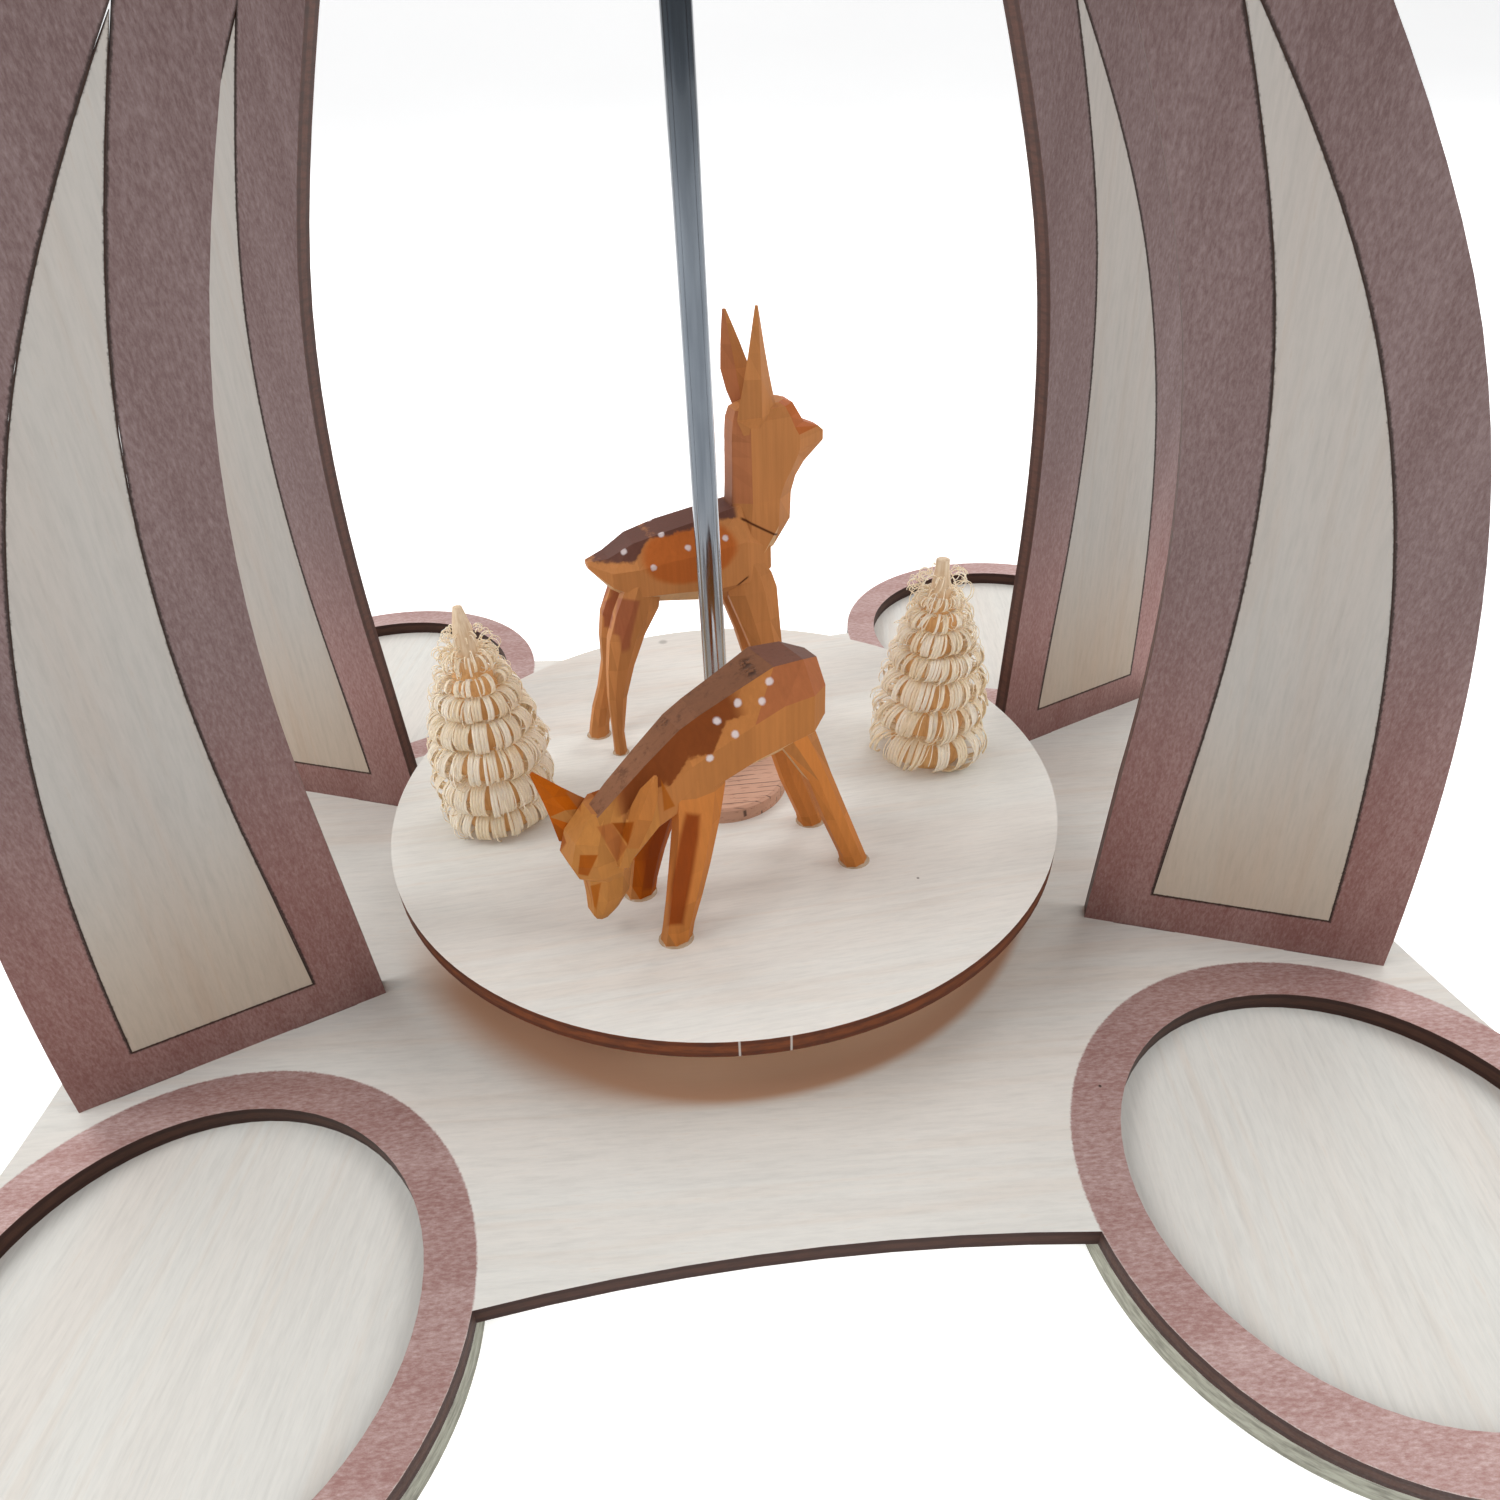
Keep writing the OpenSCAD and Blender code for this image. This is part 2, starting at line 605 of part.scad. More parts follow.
module grazing_shape() {
    hind = [[0, 6.4, -19.2, -15, 1.9], [2.4, 6.3, -18.4, -14.4, 1.6], [11.6, 5.9, -15.1, -10.9, 1.7],
        [20, 5.0, -12.3, -8.2, 1.9], [27, 4.4, -10.2, -4.2, 2.0], [32, 4.2, -8.5, -1, 1.8]];
    front = [[0, 6.2, 14.2, 18.8, 1.9], [2.6, 6.2, 13.6, 18.2, 1.8], [7.7, 6.2, 11.8, 17.2, 1.8],
        [13, 5.8, 9.9, 16, 2.0], [20, 4.9, 7.4, 14.3, 2.2], [25, 4.2, 5.8, 13.5, 2.0], [30, 4.0, 6, 12, 1.6]];
    trunk([[-12.4, 27.5, 38.2, 1.6, 4.0, 2.0],
           [-9, 26, 39.6, 3.2, 6.2, 3.2],
           [-3.8, 25.4, 40.2, 3.5, 6.4, 3.6],
           [1.2, 25, 38.4, 3.1, 6.4, 3.6],
           [8, 23.2, 36, 2.7, 6.2, 3.4],
           [11.2, 21.8, 34.6, 2.5, 5.8, 3],
           [16.5, 19, 30.8, 2.2, 4.6, 2.4],
           [21.5, 13.5, 27, 2, 3.8, 1.8],
           [24.6, 13.5, 24.4, 1.7, 3.2, 1.5]]);
    // Head hanging down, from the muzzle to the poll
    block(-1, [[4.2, 24.4, 25, 25.9, 26.5, 0.8, 1.3, 0.8],
        [5.4, 22.8, 24, 25.8, 27, 1.1, 1.8, 1.1],
        [8.4, 20.8, 22.6, 25, 26.8, 1.5, 2.6, 1.4],
        [10.6, 20.2, 22.2, 24.8, 26.9, 1.8, 3.3, 1.7],
        [12.2, 19.8, 22.4, 25.8, 28.5, 2, 4, 2],
        [17.2, 18.8, 22, 26.4, 29.4, 2.2, 4.4, 2.2],
        [20.8, 18.8, 21.8, 25.6, 28.2, 2.1, 4.2, 2.1],
        [24.6, 19.6, 21, 23.6, 25, 1.6, 3, 1.6]]);
    ear([22.4, 3.8, 17.2], [17.4, 7, 32], [-0.6, 0.69, -0.4], NARROW_LEAF);
    ear([25, -3.4, 19.5], [30.6, -6, 30], [0.88, -0.1, -0.45], SPIRE);
    for (stations = [hind, across(hind), front, across(front)])
        limb(stations);
}

// Each carving is sized by its height, so that both keep their proportions
module standing_fawn() {
    color(STAIN)
    translate([-standing_left, standing_back, deck_top])
        rotate([0, 0, standing_heading])
            resize([0, 0, standing_h], auto = true) standing_shape();
}

module grazing_fawn() {
    color(STAIN)
    translate([grazing_right, -grazing_front, deck_top])
        rotate([0, 0, grazing_heading])
            resize([0, 0, grazing_h], auto = true) grazing_shape();
}

// Ring trees: a tapering stick with a stack of curled tiers that grow towards the foot
TIERS = 8;
tier_low = 0.02 * tree_h;
tier_high = 0.84 * tree_h;
core_tip_r = 0.12 * tree_r;
core_foot_r = 0.5 * tree_r;
function tier_z(k) = tier_low + (tier_high - tier_low) * (1 - pow(1 - k / TIERS, 1.12));
function core_r(z) = core_foot_r + (core_tip_r - core_foot_r) * z / tree_h;
function curl_r(k) = tree_r * (1 - 0.72 * pow(k / (TIERS - 1), 1.25));

// Each tier leaves the stick low down, swells and rolls back in at its top
module ring_tree(reach, turn) {
    tier_points = [for (k = [0 : TIERS - 1])
        let (low = tier_z(k), rise = tier_z(k + 1) - low, r = curl_r(k), waist = core_r(low + rise))
        each [[0.86 * r, low], [r, low + 0.22 * rise], [r, low + 0.5 * rise],
              [0.84 * r, low + 0.74 * rise], [waist, low + 0.82 * rise], [waist, low + rise]]];
    outline = concat([[0, 0], [0.8 * tree_r, 0]], tier_points, [[core_tip_r, tree_h], [0, tree_h]]);
    color(SHAVING)
    rotate([0, 0, turn])
        translate([reach, 0, deck_top])
            rotate_extrude($fn = 48)
                polygon(outline);
}

base_plate();
for (i = [0 : 3]) {
    foot_disc(i);
    upright_frame(i);
    upright_inlay(i);
}
bearing_block();
bearing_cup();
crown_plate();
crown_bush();
spindle();
turntable();
turntable_hub();
grazing_fawn();
standing_fawn();
ring_tree(tree_left_reach, tree_left_angle);  // ring_tree_left
ring_tree(tree_right_reach, tree_right_angle);  // ring_tree_right
rotor_hub();
rotor_finial();
for (i = [1 : BLADES]) {
    blade_peg(i);
    blade(i);
}
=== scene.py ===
"""Looks of a table-top candle carousel: laser-cut plywood, carved fawns and curled ring trees."""
import math
import random

import bmesh
import bpy
from mathutils import Matrix, Vector
from mathutils.bvhtree import BVHTree


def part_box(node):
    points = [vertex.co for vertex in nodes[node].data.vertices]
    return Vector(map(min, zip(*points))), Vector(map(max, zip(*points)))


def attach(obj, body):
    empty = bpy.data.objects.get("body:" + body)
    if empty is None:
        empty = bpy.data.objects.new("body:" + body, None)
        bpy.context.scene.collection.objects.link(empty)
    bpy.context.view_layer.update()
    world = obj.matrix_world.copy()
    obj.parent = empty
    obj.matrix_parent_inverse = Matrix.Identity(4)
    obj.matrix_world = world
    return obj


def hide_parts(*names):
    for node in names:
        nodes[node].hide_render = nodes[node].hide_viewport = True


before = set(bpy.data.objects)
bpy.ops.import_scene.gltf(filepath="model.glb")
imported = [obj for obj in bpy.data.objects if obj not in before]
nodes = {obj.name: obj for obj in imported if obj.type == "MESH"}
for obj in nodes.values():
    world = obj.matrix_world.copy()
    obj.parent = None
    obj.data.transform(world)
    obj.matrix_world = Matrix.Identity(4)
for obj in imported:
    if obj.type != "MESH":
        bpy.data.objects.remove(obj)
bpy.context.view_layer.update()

MM = 0.001
CORNERS = ("rr", "rl", "fl", "fr")
BLADES = range(1, 9)

# The camera that took the photograph, in pixels of its square frame and in metres
FRAME_PX = 1500
FOCAL_PX = 1007.15
CENTRE_PX = (725.5, 785.5)
EYE = Vector((-0.00986, -0.14976, 0.13675))
AHEAD = Vector((0.0562, 0.7973, -0.6010)).normalized()
RIGHT = Vector((0.9936, -0.1037, -0.0447))
RIGHT = (RIGHT - RIGHT.dot(AHEAD) * AHEAD).normalized()
UP = RIGHT.cross(AHEAD)

# Sizes of the plates that the finishes follow
BASE_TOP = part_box("base_plate")[1].z
BASE_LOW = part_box("base_plate")[0].z
DECK_LOW, DECK_TOP = (corner.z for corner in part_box("turntable"))
DECK_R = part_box("turntable")[1].x
CANDLE_C = sum(corner.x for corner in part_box("foot_disc_rr")) / 2
LOBE_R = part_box("foot_disc_rr")[1].x - CANDLE_C
SHADE_X, SHADE_Y = -2 * MM, 2.6 * MM
NICKS = (-3.6 * MM, 3.7 * MM)

# The uprights: their turn about the rod, thickness, saw line, the inlays' border in millimetres, and the bow
UPRIGHT_TURN = math.radians(22.5)
UPRIGHT_TURNS = {"rr": UPRIGHT_TURN, "rl": math.pi - UPRIGHT_TURN,
                 "fl": math.pi + UPRIGHT_TURN, "fr": -UPRIGHT_TURN}
UPRIGHT_THICK = 3.2 * MM
SAW_LINE = 0.19 * MM
INLAY_BORDER = 9.8
INLAY_FOOT = BASE_TOP + 7.8 * MM
BOW = 3.4 * MM
BOW_RISE = (BASE_TOP + 10 * MM, BASE_TOP + 95 * MM)
BOW_FALL = (BASE_TOP + 95 * MM, BASE_TOP + 152 * MM)

# Where the fawns stand and which way they head, and how they are carved and glued
GRAZING = {"at": Vector((1.5 * MM, -26.3 * MM, DECK_TOP)), "turn": math.radians(204.4)}
STANDING = {"at": Vector((-4.5 * MM, 22 * MM, DECK_TOP)), "turn": math.radians(15)}
KNIFE_EDGE = 0.2 * MM
KNIFE_ANGLE = math.radians(16)
GLUE_SPREAD = 1.28
GLUE_RISE = 0.55 * MM

# Shavings of the ring trees: a tier narrower than a hair has only loose hairs, and a fine one wilder curls
HAIR = 0.4
FINE = 1.5
LOOSE_HAIRS = 30
STRAND = 0.55 * MM
SHAVING_THICK = 0.1 * MM
CURL_STEPS = 9


def inlay_arc(foot, rise, lean, start, inset):
    """Distance from the rod, height and radius of the arc of an inlay's edge, from sizes in millimetres."""
    radius = (rise ** 2 + lean ** 2) / (2 * lean)
    return (foot - radius) * MM, BASE_TOP + start * MM, (radius + inset) * MM


OUTER_ARC = inlay_arc(foot=115.0, rise=162, lean=55.3, start=-12, inset=-INLAY_BORDER)
INNER_ARC = inlay_arc(foot=67.2, rise=120, lean=25, start=30, inset=INLAY_BORDER)


def look(u, v):
    """Direction in which the camera sees a pixel of the photograph."""
    aside = RIGHT * ((u - CENTRE_PX[0]) / FOCAL_PX)
    below = UP * ((v - CENTRE_PX[1]) / FOCAL_PX)
    return (AHEAD + aside - below).normalized()


def seen_level(u, v, z):
    """Place on a level plane that the camera sees at a pixel."""
    ray = look(u, v)
    return EYE + ray * ((z - EYE.z) / ray.z)


class Value:
    """A socket in a finish: sums, products and the like of it add Math nodes."""

    def __init__(self, finish, socket):
        self.finish = finish
        self.socket = socket

    def __add__(self, other):
        return self.finish.math("ADD", self, other)

    def __radd__(self, other):
        return self.finish.math("ADD", other, self)

    def __sub__(self, other):
        return self.finish.math("SUBTRACT", self, other)

    def __rsub__(self, other):
        return self.finish.math("SUBTRACT", other, self)

    def __mul__(self, other):
        return self.finish.math("MULTIPLY", self, other)

    def __rmul__(self, other):
        return self.finish.math("MULTIPLY", other, self)

    def __truediv__(self, other):
        return self.finish.math("DIVIDE", self, other)

    def __rtruediv__(self, other):
        return self.finish.math("DIVIDE", other, self)

    def __pow__(self, other):
        return self.finish.math("POWER", self, other)

    def __abs__(self):
        return self.finish.math("ABSOLUTE", self)

    def min(self, other):
        return self.finish.math("MINIMUM", self, other)

    def max(self, other):
        return self.finish.math("MAXIMUM", self, other)

    def root(self):
        return self.finish.math("SQRT", self)

    def ramp(self, low, high):
        """0 below low, 1 above high and a smooth rise between them."""
        settings = {"interpolation_type": "SMOOTHSTEP"}
        inputs = {"Value": self, "From Min": low, "From Max": high}
        return self.finish.node("ShaderNodeMapRange", settings, inputs)


class Finish:
    """A material: one Principled shader and the nodes that feed it."""

    def __init__(self, name):
        self.material = bpy.data.materials.new(name)
        self.material.use_nodes = True
        self.tree = self.material.node_tree
        self.shader = self.tree.nodes["Principled BSDF"]
        place = self.node("ShaderNodeTexCoord", output="Object")
        self.place = place
        self.x, self.y, self.z = (self.node("ShaderNodeSeparateXYZ", {}, {0: place}, k) for k in range(3))

    def feed(self, node, inputs):
        for key, value in inputs.items():
            if isinstance(value, Value):
                self.tree.links.new(value.socket, node.inputs[key])
            else:
                node.inputs[key].default_value = value

    def node(self, kind, settings=None, inputs=None, output=0):
        made = self.tree.nodes.new(kind)
        for key, value in (settings or {}).items():
            setattr(made, key, value)
        self.feed(made, inputs or {})
        return Value(self, made.outputs[output])

    def math(self, operation, *values):
        return self.node("ShaderNodeMath", {"operation": operation}, dict(enumerate(values)))

    def mix(self, factor, first, second):
        """A colour between two colours."""
        return self.node("ShaderNodeMix", {"data_type": "RGBA"}, {0: factor, 6: first, 7: second}, 2)

    def times(self, colour, other):
        """A colour seen through another one."""
        return self.node("ShaderNodeMix", {"data_type": "RGBA", "blend_type": "MULTIPLY"},
                         {0: 1.0, 6: colour, 7: other}, 2)

    def shade(self, colour, amount):
        """A colour made lighter or darker by a value about 1."""
        return self.times(colour, self.node("ShaderNodeCombineColor", {}, {0: amount, 1: amount, 2: amount}))

    def noise(self, stretch, turn=(0, 0, 0), detail=3.0, rough=0.55):
        """Noise of about 0 to 1 whose waves per metre along each axis are given by stretch."""
        turned = self.node("ShaderNodeMapping", {"vector_type": "TEXTURE"},
                           {"Vector": self.place, "Rotation": turn})
        spread = self.node("ShaderNodeMapping", {"vector_type": "POINT"},
                           {"Vector": turned, "Scale": stretch})
        return self.node("ShaderNodeTexNoise", {},
                         {"Vector": spread, "Scale": 1.0, "Detail": detail, "Roughness": rough})

    def dot(self, vector, direction):
        return self.node("ShaderNodeVectorMath", {"operation": "DOT_PRODUCT"},
                         {0: vector, 1: direction}, "Value")

    def facing(self, direction):
        """1 on the faces that look along a direction, either way, and 0 on those that stand across it."""
        normal = self.node("ShaderNodeNewGeometry", output="True Normal")
        return abs(self.dot(normal, direction)).ramp(0.4, 0.6)

    def bump(self, height, depth, strength=1.0):
        return self.node("ShaderNodeBump", {}, {"Height": height, "Distance": depth, "Strength": strength})

    def distance(self, point):
        return self.node("ShaderNodeVectorMath", {"operation": "DISTANCE"},
                         {0: self.place, 1: point}, "Value")

    def spot(self, point, radius, soft):
        """1 inside a ball about a point and 0 outside it, with a soft rim."""
        return 1 - self.distance(point).ramp(radius - soft, radius + soft)

    def flat(self, corners, sight, soft):
        """1 on a flat patch with straight sides, seen along a direction, and 0 outside it."""
        middle = sum(corners, Vector()) / len(corners)
        inside = None
        for start, end in zip(corners, corners[1:] + corners[:1]):
            across = (end - start).cross(sight).normalized()
            if across.dot(middle - start) < 0:
                across.negate()
            along = self.dot(self.place, across) - across.dot(start)
            inside = inside.min(along) if inside else along
        reach = max((corner - middle).length for corner in corners)
        return inside.ramp(-soft, soft) * self.spot(middle, 1.3 * reach, 0.1 * reach)

    def own_frame(self, stand):
        """Place in the frame of a figure that stands somewhere, turned to its heading."""
        moved = self.node("ShaderNodeMapping", {"vector_type": "TEXTURE"},
                          {"Vector": self.place, "Location": stand["at"], "Rotation": (0, 0, stand["turn"])})
        return [self.node("ShaderNodeSeparateXYZ", {}, {0: moved}, k) for k in range(3)]

    def attribute(self, name, output="Fac"):
        return self.node("ShaderNodeAttribute", {"attribute_name": name}, output=output)

    def done(self, **inputs):
        self.feed(self.shader, {key.replace("_", " "): value for key, value in inputs.items()})
        return self.material


# Colours as linear light: bare plywood, its burnt edge and the mauve glaze
PLY = (0.655, 0.650, 0.612, 1)
PLY_WARM = (0.655, 0.612, 0.560, 1)
PLY_LINE = (0.600, 0.490, 0.395, 1)
PLY_FLECK = (0.50, 0.43, 0.36, 1)
PLY_UNDER = (0.52, 0.30, 0.16, 1)
# Painted shadow of the turntable on the base plate, and painted warm bounce light deeper under it
PLY_PAINTED_SHADE = (0.47, 0.280, 0.180, 1)
PLY_PAINTED_BOUNCE = (0.84, 0.600, 0.420, 1)
# The inlays' bare wood darkened as painted shade, warmer towards the foot
INLAY_PAINTED_SHADE_LOW = (0.74, 0.62, 0.53, 1)
INLAY_PAINTED_SHADE_HIGH = (0.68, 0.65, 0.64, 1)
BURNT = (0.034, 0.016, 0.014, 1)
BURNT_WARM = (0.078, 0.036, 0.025, 1)
UPRIGHT_BURNT = (0.055, 0.021, 0.016, 1)
UPRIGHT_BURNT_WARM = (0.120, 0.050, 0.034, 1)
DECK_BURNT = (0.078, 0.021, 0.010, 1)
DECK_BURNT_WARM = (0.190, 0.054, 0.019, 1)
FOOT_EDGE = (0.30, 0.30, 0.24, 1)
FOOT_EDGE_LIGHT = (0.38, 0.38, 0.31, 1)
SCORCH = (0.030, 0.018, 0.015, 1)
MAUVE = (0.315, 0.172, 0.155, 1)
MAUVE_LIGHT = (0.560, 0.430, 0.410, 1)
# The frames' glaze: the rings' mauve darkened as painted shade on the standing plates
SHADED_FRAME_MAUVE = (0.235, 0.108, 0.096, 1)
SHADED_FRAME_MAUVE_LIGHT = (0.400, 0.255, 0.235, 1)
# Towards the frames' top: darker as painted shade and greyer as a painted pearly sheen
FRAME_TOP_SHADE_AND_SHEEN = (0.145, 0.092, 0.088, 1)
FRAME_TOP_SHADE_AND_SHEEN_LIGHT = (0.265, 0.198, 0.194, 1)

# Turned beech, metals, glue, shavings and the trees' sticks
BEECH = (0.50, 0.275, 0.185, 1)
BEECH_LIGHT = (0.62, 0.38, 0.27, 1)
BEECH_FLECK = (0.26, 0.115, 0.07, 1)
BEECH_CRACK = (0.17, 0.065, 0.035, 1)
# The rod's steel, lighter low down and darker and bluer high up as a painted reflection
STEEL_REFLECTION_LOW = (0.34, 0.35, 0.37, 1)
STEEL_REFLECTION_LOW_LIGHT = (0.46, 0.47, 0.49, 1)
STEEL_REFLECTION_HIGH = (0.070, 0.085, 0.104, 1)
STEEL_REFLECTION_HIGH_LIGHT = (0.112, 0.131, 0.154, 1)
BRASS = (0.52, 0.36, 0.12, 1)
BRASS_LIGHT = (0.70, 0.52, 0.22, 1)
# Scorched glue in the inlays' saw lines, dark also as painted shade of the slit
SLIT_GLUE_AND_SHADE = (0.020, 0.012, 0.010, 1)
SLIT_GLUE_AND_SHADE_LIGHT = (0.060, 0.034, 0.026, 1)
HOOF_GLUE = (0.62, 0.38, 0.18, 1)
HOOF_GLUE_LIGHT = (0.78, 0.62, 0.44, 1)
CREAM = (0.78, 0.58, 0.36, 1)
CREAM_LIGHT = (0.88, 0.77, 0.60, 1)
# Painted glow of the shavings, standing for light through them
CREAM_PAINTED_GLOW = (0.92, 0.66, 0.38, 1)
STICK = (0.46, 0.23, 0.085, 1)
STICK_LIGHT = (0.62, 0.38, 0.17, 1)
# Painted glow of the sticks, for light through the shavings, weaker at the tip
STICK_PAINTED_GLOW = (0.84, 0.43, 0.15, 1)
TIP = (0.60, 0.43, 0.27, 1)
TIP_LIGHT = (0.74, 0.60, 0.43, 1)
TIP_PAINTED_GLOW = (0.20, 0.13, 0.07, 1)

# What several finishes share: the glaze's pearl, and the depth of wood grain and of turned or drawn metal
GLAZE_METAL = 0.38
GRAIN_DEPTH = 0.05 * MM
METAL_DEPTH = 0.02 * MM
UPWARDS = (0, 0, 1)


def wood_face(f, turn):
    """Pale plywood face with fine grain along a direction, soft warm bands, year lines and short flecks."""
    bands = f.noise((2.5, 60, 60), turn, detail=2.0, rough=0.5).ramp(0.42, 0.70)
    wander = f.noise((5, 90, 90), turn, detail=3.0, rough=0.5)
    lines = (1 - abs(f.math("FRACT", wander * 8.0) - 0.5).ramp(0.0, 0.30)) * wander.ramp(0.44, 0.62)
    streaks = f.noise((26, 900, 900), turn, detail=4.0, rough=0.62)
    pores = f.noise((210, 1700, 1700), turn, detail=4.0, rough=0.68)
    colour = f.mix(bands * 0.6, PLY, PLY_WARM)
    colour = f.mix(lines * 0.20, colour, PLY_LINE)
    colour = f.mix(pores.ramp(0.56, 0.74) * 0.34, colour, PLY_FLECK)
    return f.shade(colour, 0.75 + streaks * 0.18 + pores * 0.34), streaks + pores * 0.5


def wood_roughness(grain):
    return 0.62 + grain * 0.1


def glaze_face(f, turn, tones=(MAUVE, MAUVE_LIGHT)):
    """Mauve glaze with a fine pearly speckle that follows the wood's grain."""
    speckle = f.noise((900, 2600, 2600), turn, detail=4.0, rough=0.75)
    sweep = f.noise((10, 160, 160), turn, detail=3.0, rough=0.6)
    return f.mix((speckle * 0.8 + sweep * 0.3).ramp(0.36, 0.84), *tones), speckle


def glaze_roughness(speckle):
    return 0.36 + speckle * 0.22


def burnt_edge(f, dark, warm, depth):
    """Laser-burnt edge: a dark middle layer between two browner ones, with uneven scorching."""
    layers = f.math("SINE", depth * (3 * math.pi)).ramp(-0.2, 0.9)
    uneven = f.noise((350, 350, 1400), detail=4.0, rough=0.65).ramp(0.35, 0.72)
    colour = f.mix(layers * 0.7, warm, dark)
    return f.mix(uneven * 0.5, colour, SCORCH)


def candle_rings(f):
    """1 on the painted rings about the candle seats and 0 outside them, with a brushed rim."""
    reach = (((abs(f.x) - CANDLE_C) ** 2.0) + ((abs(f.y) - CANDLE_C) ** 2.0)).root()
    wobble = f.noise((2600, 2600, 2600), detail=2.0) * (0.5 * MM)
    return 1 - (reach + wobble).ramp(LOBE_R + 0.05 * MM, LOBE_R + 0.45 * MM)


def deck_shade(f, face):
    """The turntable's warm shadow painted on a face in front of it, with painted bounce light deeper under
    it: sharper and lighter towards the right.
    """
    inwards = DECK_R - (((f.x - SHADE_X) ** 2.0) + ((f.y - SHADE_Y) ** 2.0)).root()
    soft = 4.5 * MM - f.x.ramp(-40 * MM, -4 * MM) * (3.4 * MM)
    lit = inwards.ramp(1 * MM, 10 * MM) * f.x.ramp(-30 * MM, -5 * MM)
    in_front = 1 - f.y.ramp(-32 * MM, -8 * MM)
    painted_shade = f.mix(lit, PLY_PAINTED_SHADE, PLY_PAINTED_BOUNCE)
    return f.mix(inwards.ramp(0 - soft, soft) * in_front, face, painted_shade)


def plate_finish(name, grain, dark=BURNT, warm=BURNT_WARM, light=1.0, rings=False, nicks=(), specks=()):
    """A level plywood plate: bare faces, burnt edges, and painted rings about the candle seats."""
    f = Finish(name)
    face, streaks = wood_face(f, grain)
    face = f.shade(face, light)
    level = f.facing(UPWARDS)
    rough = wood_roughness(streaks)
    metal = 0.0
    height = streaks
    low, high = DECK_LOW, DECK_TOP
    if rings:
        painted = candle_rings(f)
        glaze, speckle = glaze_face(f, grain)
        # The turntable's shadow and bounce light are painted on the base plate in front of it
        face = f.mix(painted, deck_shade(f, face), glaze)
        rough = rough * (1 - painted) + painted * glaze_roughness(speckle)
        metal = painted * GLAZE_METAL * level
        height = streaks * (1 - painted) + speckle * painted
        low, high = BASE_LOW, BASE_TOP
    depth = (f.z - low) / (high - low)
    edge = burnt_edge(f, dark, warm, depth)
    for x in nicks:
        nick = (1 - abs(f.x - x).ramp(0.08 * MM, 0.22 * MM)) * (1 - f.y.ramp(-30 * MM, -10 * MM))
        edge = f.mix(nick * 0.65, edge, PLY_WARM)
    for at, reach, strength in specks:
        face = f.mix(f.spot(at, reach, reach * 0.5) * strength, face, SCORCH)
    if nicks:
        face = f.mix(1 - depth.ramp(0.1, 0.2), face, PLY_UNDER)
    return f.done(Base_Color=f.mix(level, edge, face), Roughness=rough, Metallic=metal,
                  Specular_IOR_Level=0.15, Normal=f.bump(height, GRAIN_DEPTH, 0.5))


def inlay_field(f, turn):
    """Distance from the inlay's outline in an upright: below 0 inside the inlay."""
    outer_axis, outer_height, outer_radius = OUTER_ARC
    inner_axis, inner_height, inner_radius = INNER_ARC
    bow = f.z.ramp(*BOW_RISE) * (1 - f.z.ramp(*BOW_FALL)) * BOW
    out = f.x * math.cos(turn) + f.y * math.sin(turn) - bow

    def reach(axis, height):
        return (((out - axis) ** 2.0) + ((f.z - height) ** 2.0)).root()

    outer = reach(outer_axis, outer_height) - outer_radius
    curved = inner_radius - reach(inner_axis, inner_height)
    straight = inner_axis + inner_radius - out
    above = f.z.ramp(inner_height - 0.5 * MM, inner_height + 0.5 * MM)
    inner = curved * above + straight * (1 - above)
    return outer.max(inner).max(INLAY_FOOT - f.z)


def upright_finish(name, turn, painted):
    """A standing plywood plate: painted or bare faces, burnt edges and a scorched saw line."""
    f = Finish(name)
    normal = (-math.sin(turn), math.cos(turn), 0)
    if painted:
        grain = (0, math.radians(90), 0)
        # The glaze on the frames is darker than on the rings as painted shade
        low_face, fine = glaze_face(f, grain, (SHADED_FRAME_MAUVE, SHADED_FRAME_MAUVE_LIGHT))
        # Towards the top the glaze turns darker as painted shade and greyer as a painted sheen
        painted_top_face, _ = glaze_face(f, grain, (FRAME_TOP_SHADE_AND_SHEEN, FRAME_TOP_SHADE_AND_SHEEN_LIGHT))
        rise = (f.z + (fine - 0.5) * (10 * MM)).ramp(20 * MM, 80 * MM)
        face = f.mix(rise, low_face, painted_top_face)
        rough = glaze_roughness(fine)
    else:
        face, fine = wood_face(f, (0, math.radians(86), turn))
        # The inlay's wood is darkened as painted shade, warmer towards its foot
        face = f.times(face, f.mix(f.z.ramp(15 * MM, 60 * MM), INLAY_PAINTED_SHADE_LOW, INLAY_PAINTED_SHADE_HIGH))
        rough = wood_roughness(fine)
    teeth = f.noise((1900, 1900, 1900), detail=2.0, rough=0.7) * (0.5 * MM)
    kerf = 1 - (abs(inlay_field(f, turn)) + teeth).ramp(0.30 * MM, 0.62 * MM)
    face = f.mix(kerf * 0.92, face, SCORCH)
    across = f.x * normal[0] + f.y * normal[1]
    edge = burnt_edge(f, UPRIGHT_BURNT, UPRIGHT_BURNT_WARM, across / UPRIGHT_THICK + 0.5)
    broad = f.facing(normal)
    metal = broad * (1 - kerf) * GLAZE_METAL if painted else 0.0
    return f.done(Base_Color=f.mix(broad, edge, face), Roughness=rough, Metallic=metal,
                  Specular_IOR_Level=0.2, Normal=f.bump(fine, GRAIN_DEPTH, 0.5))


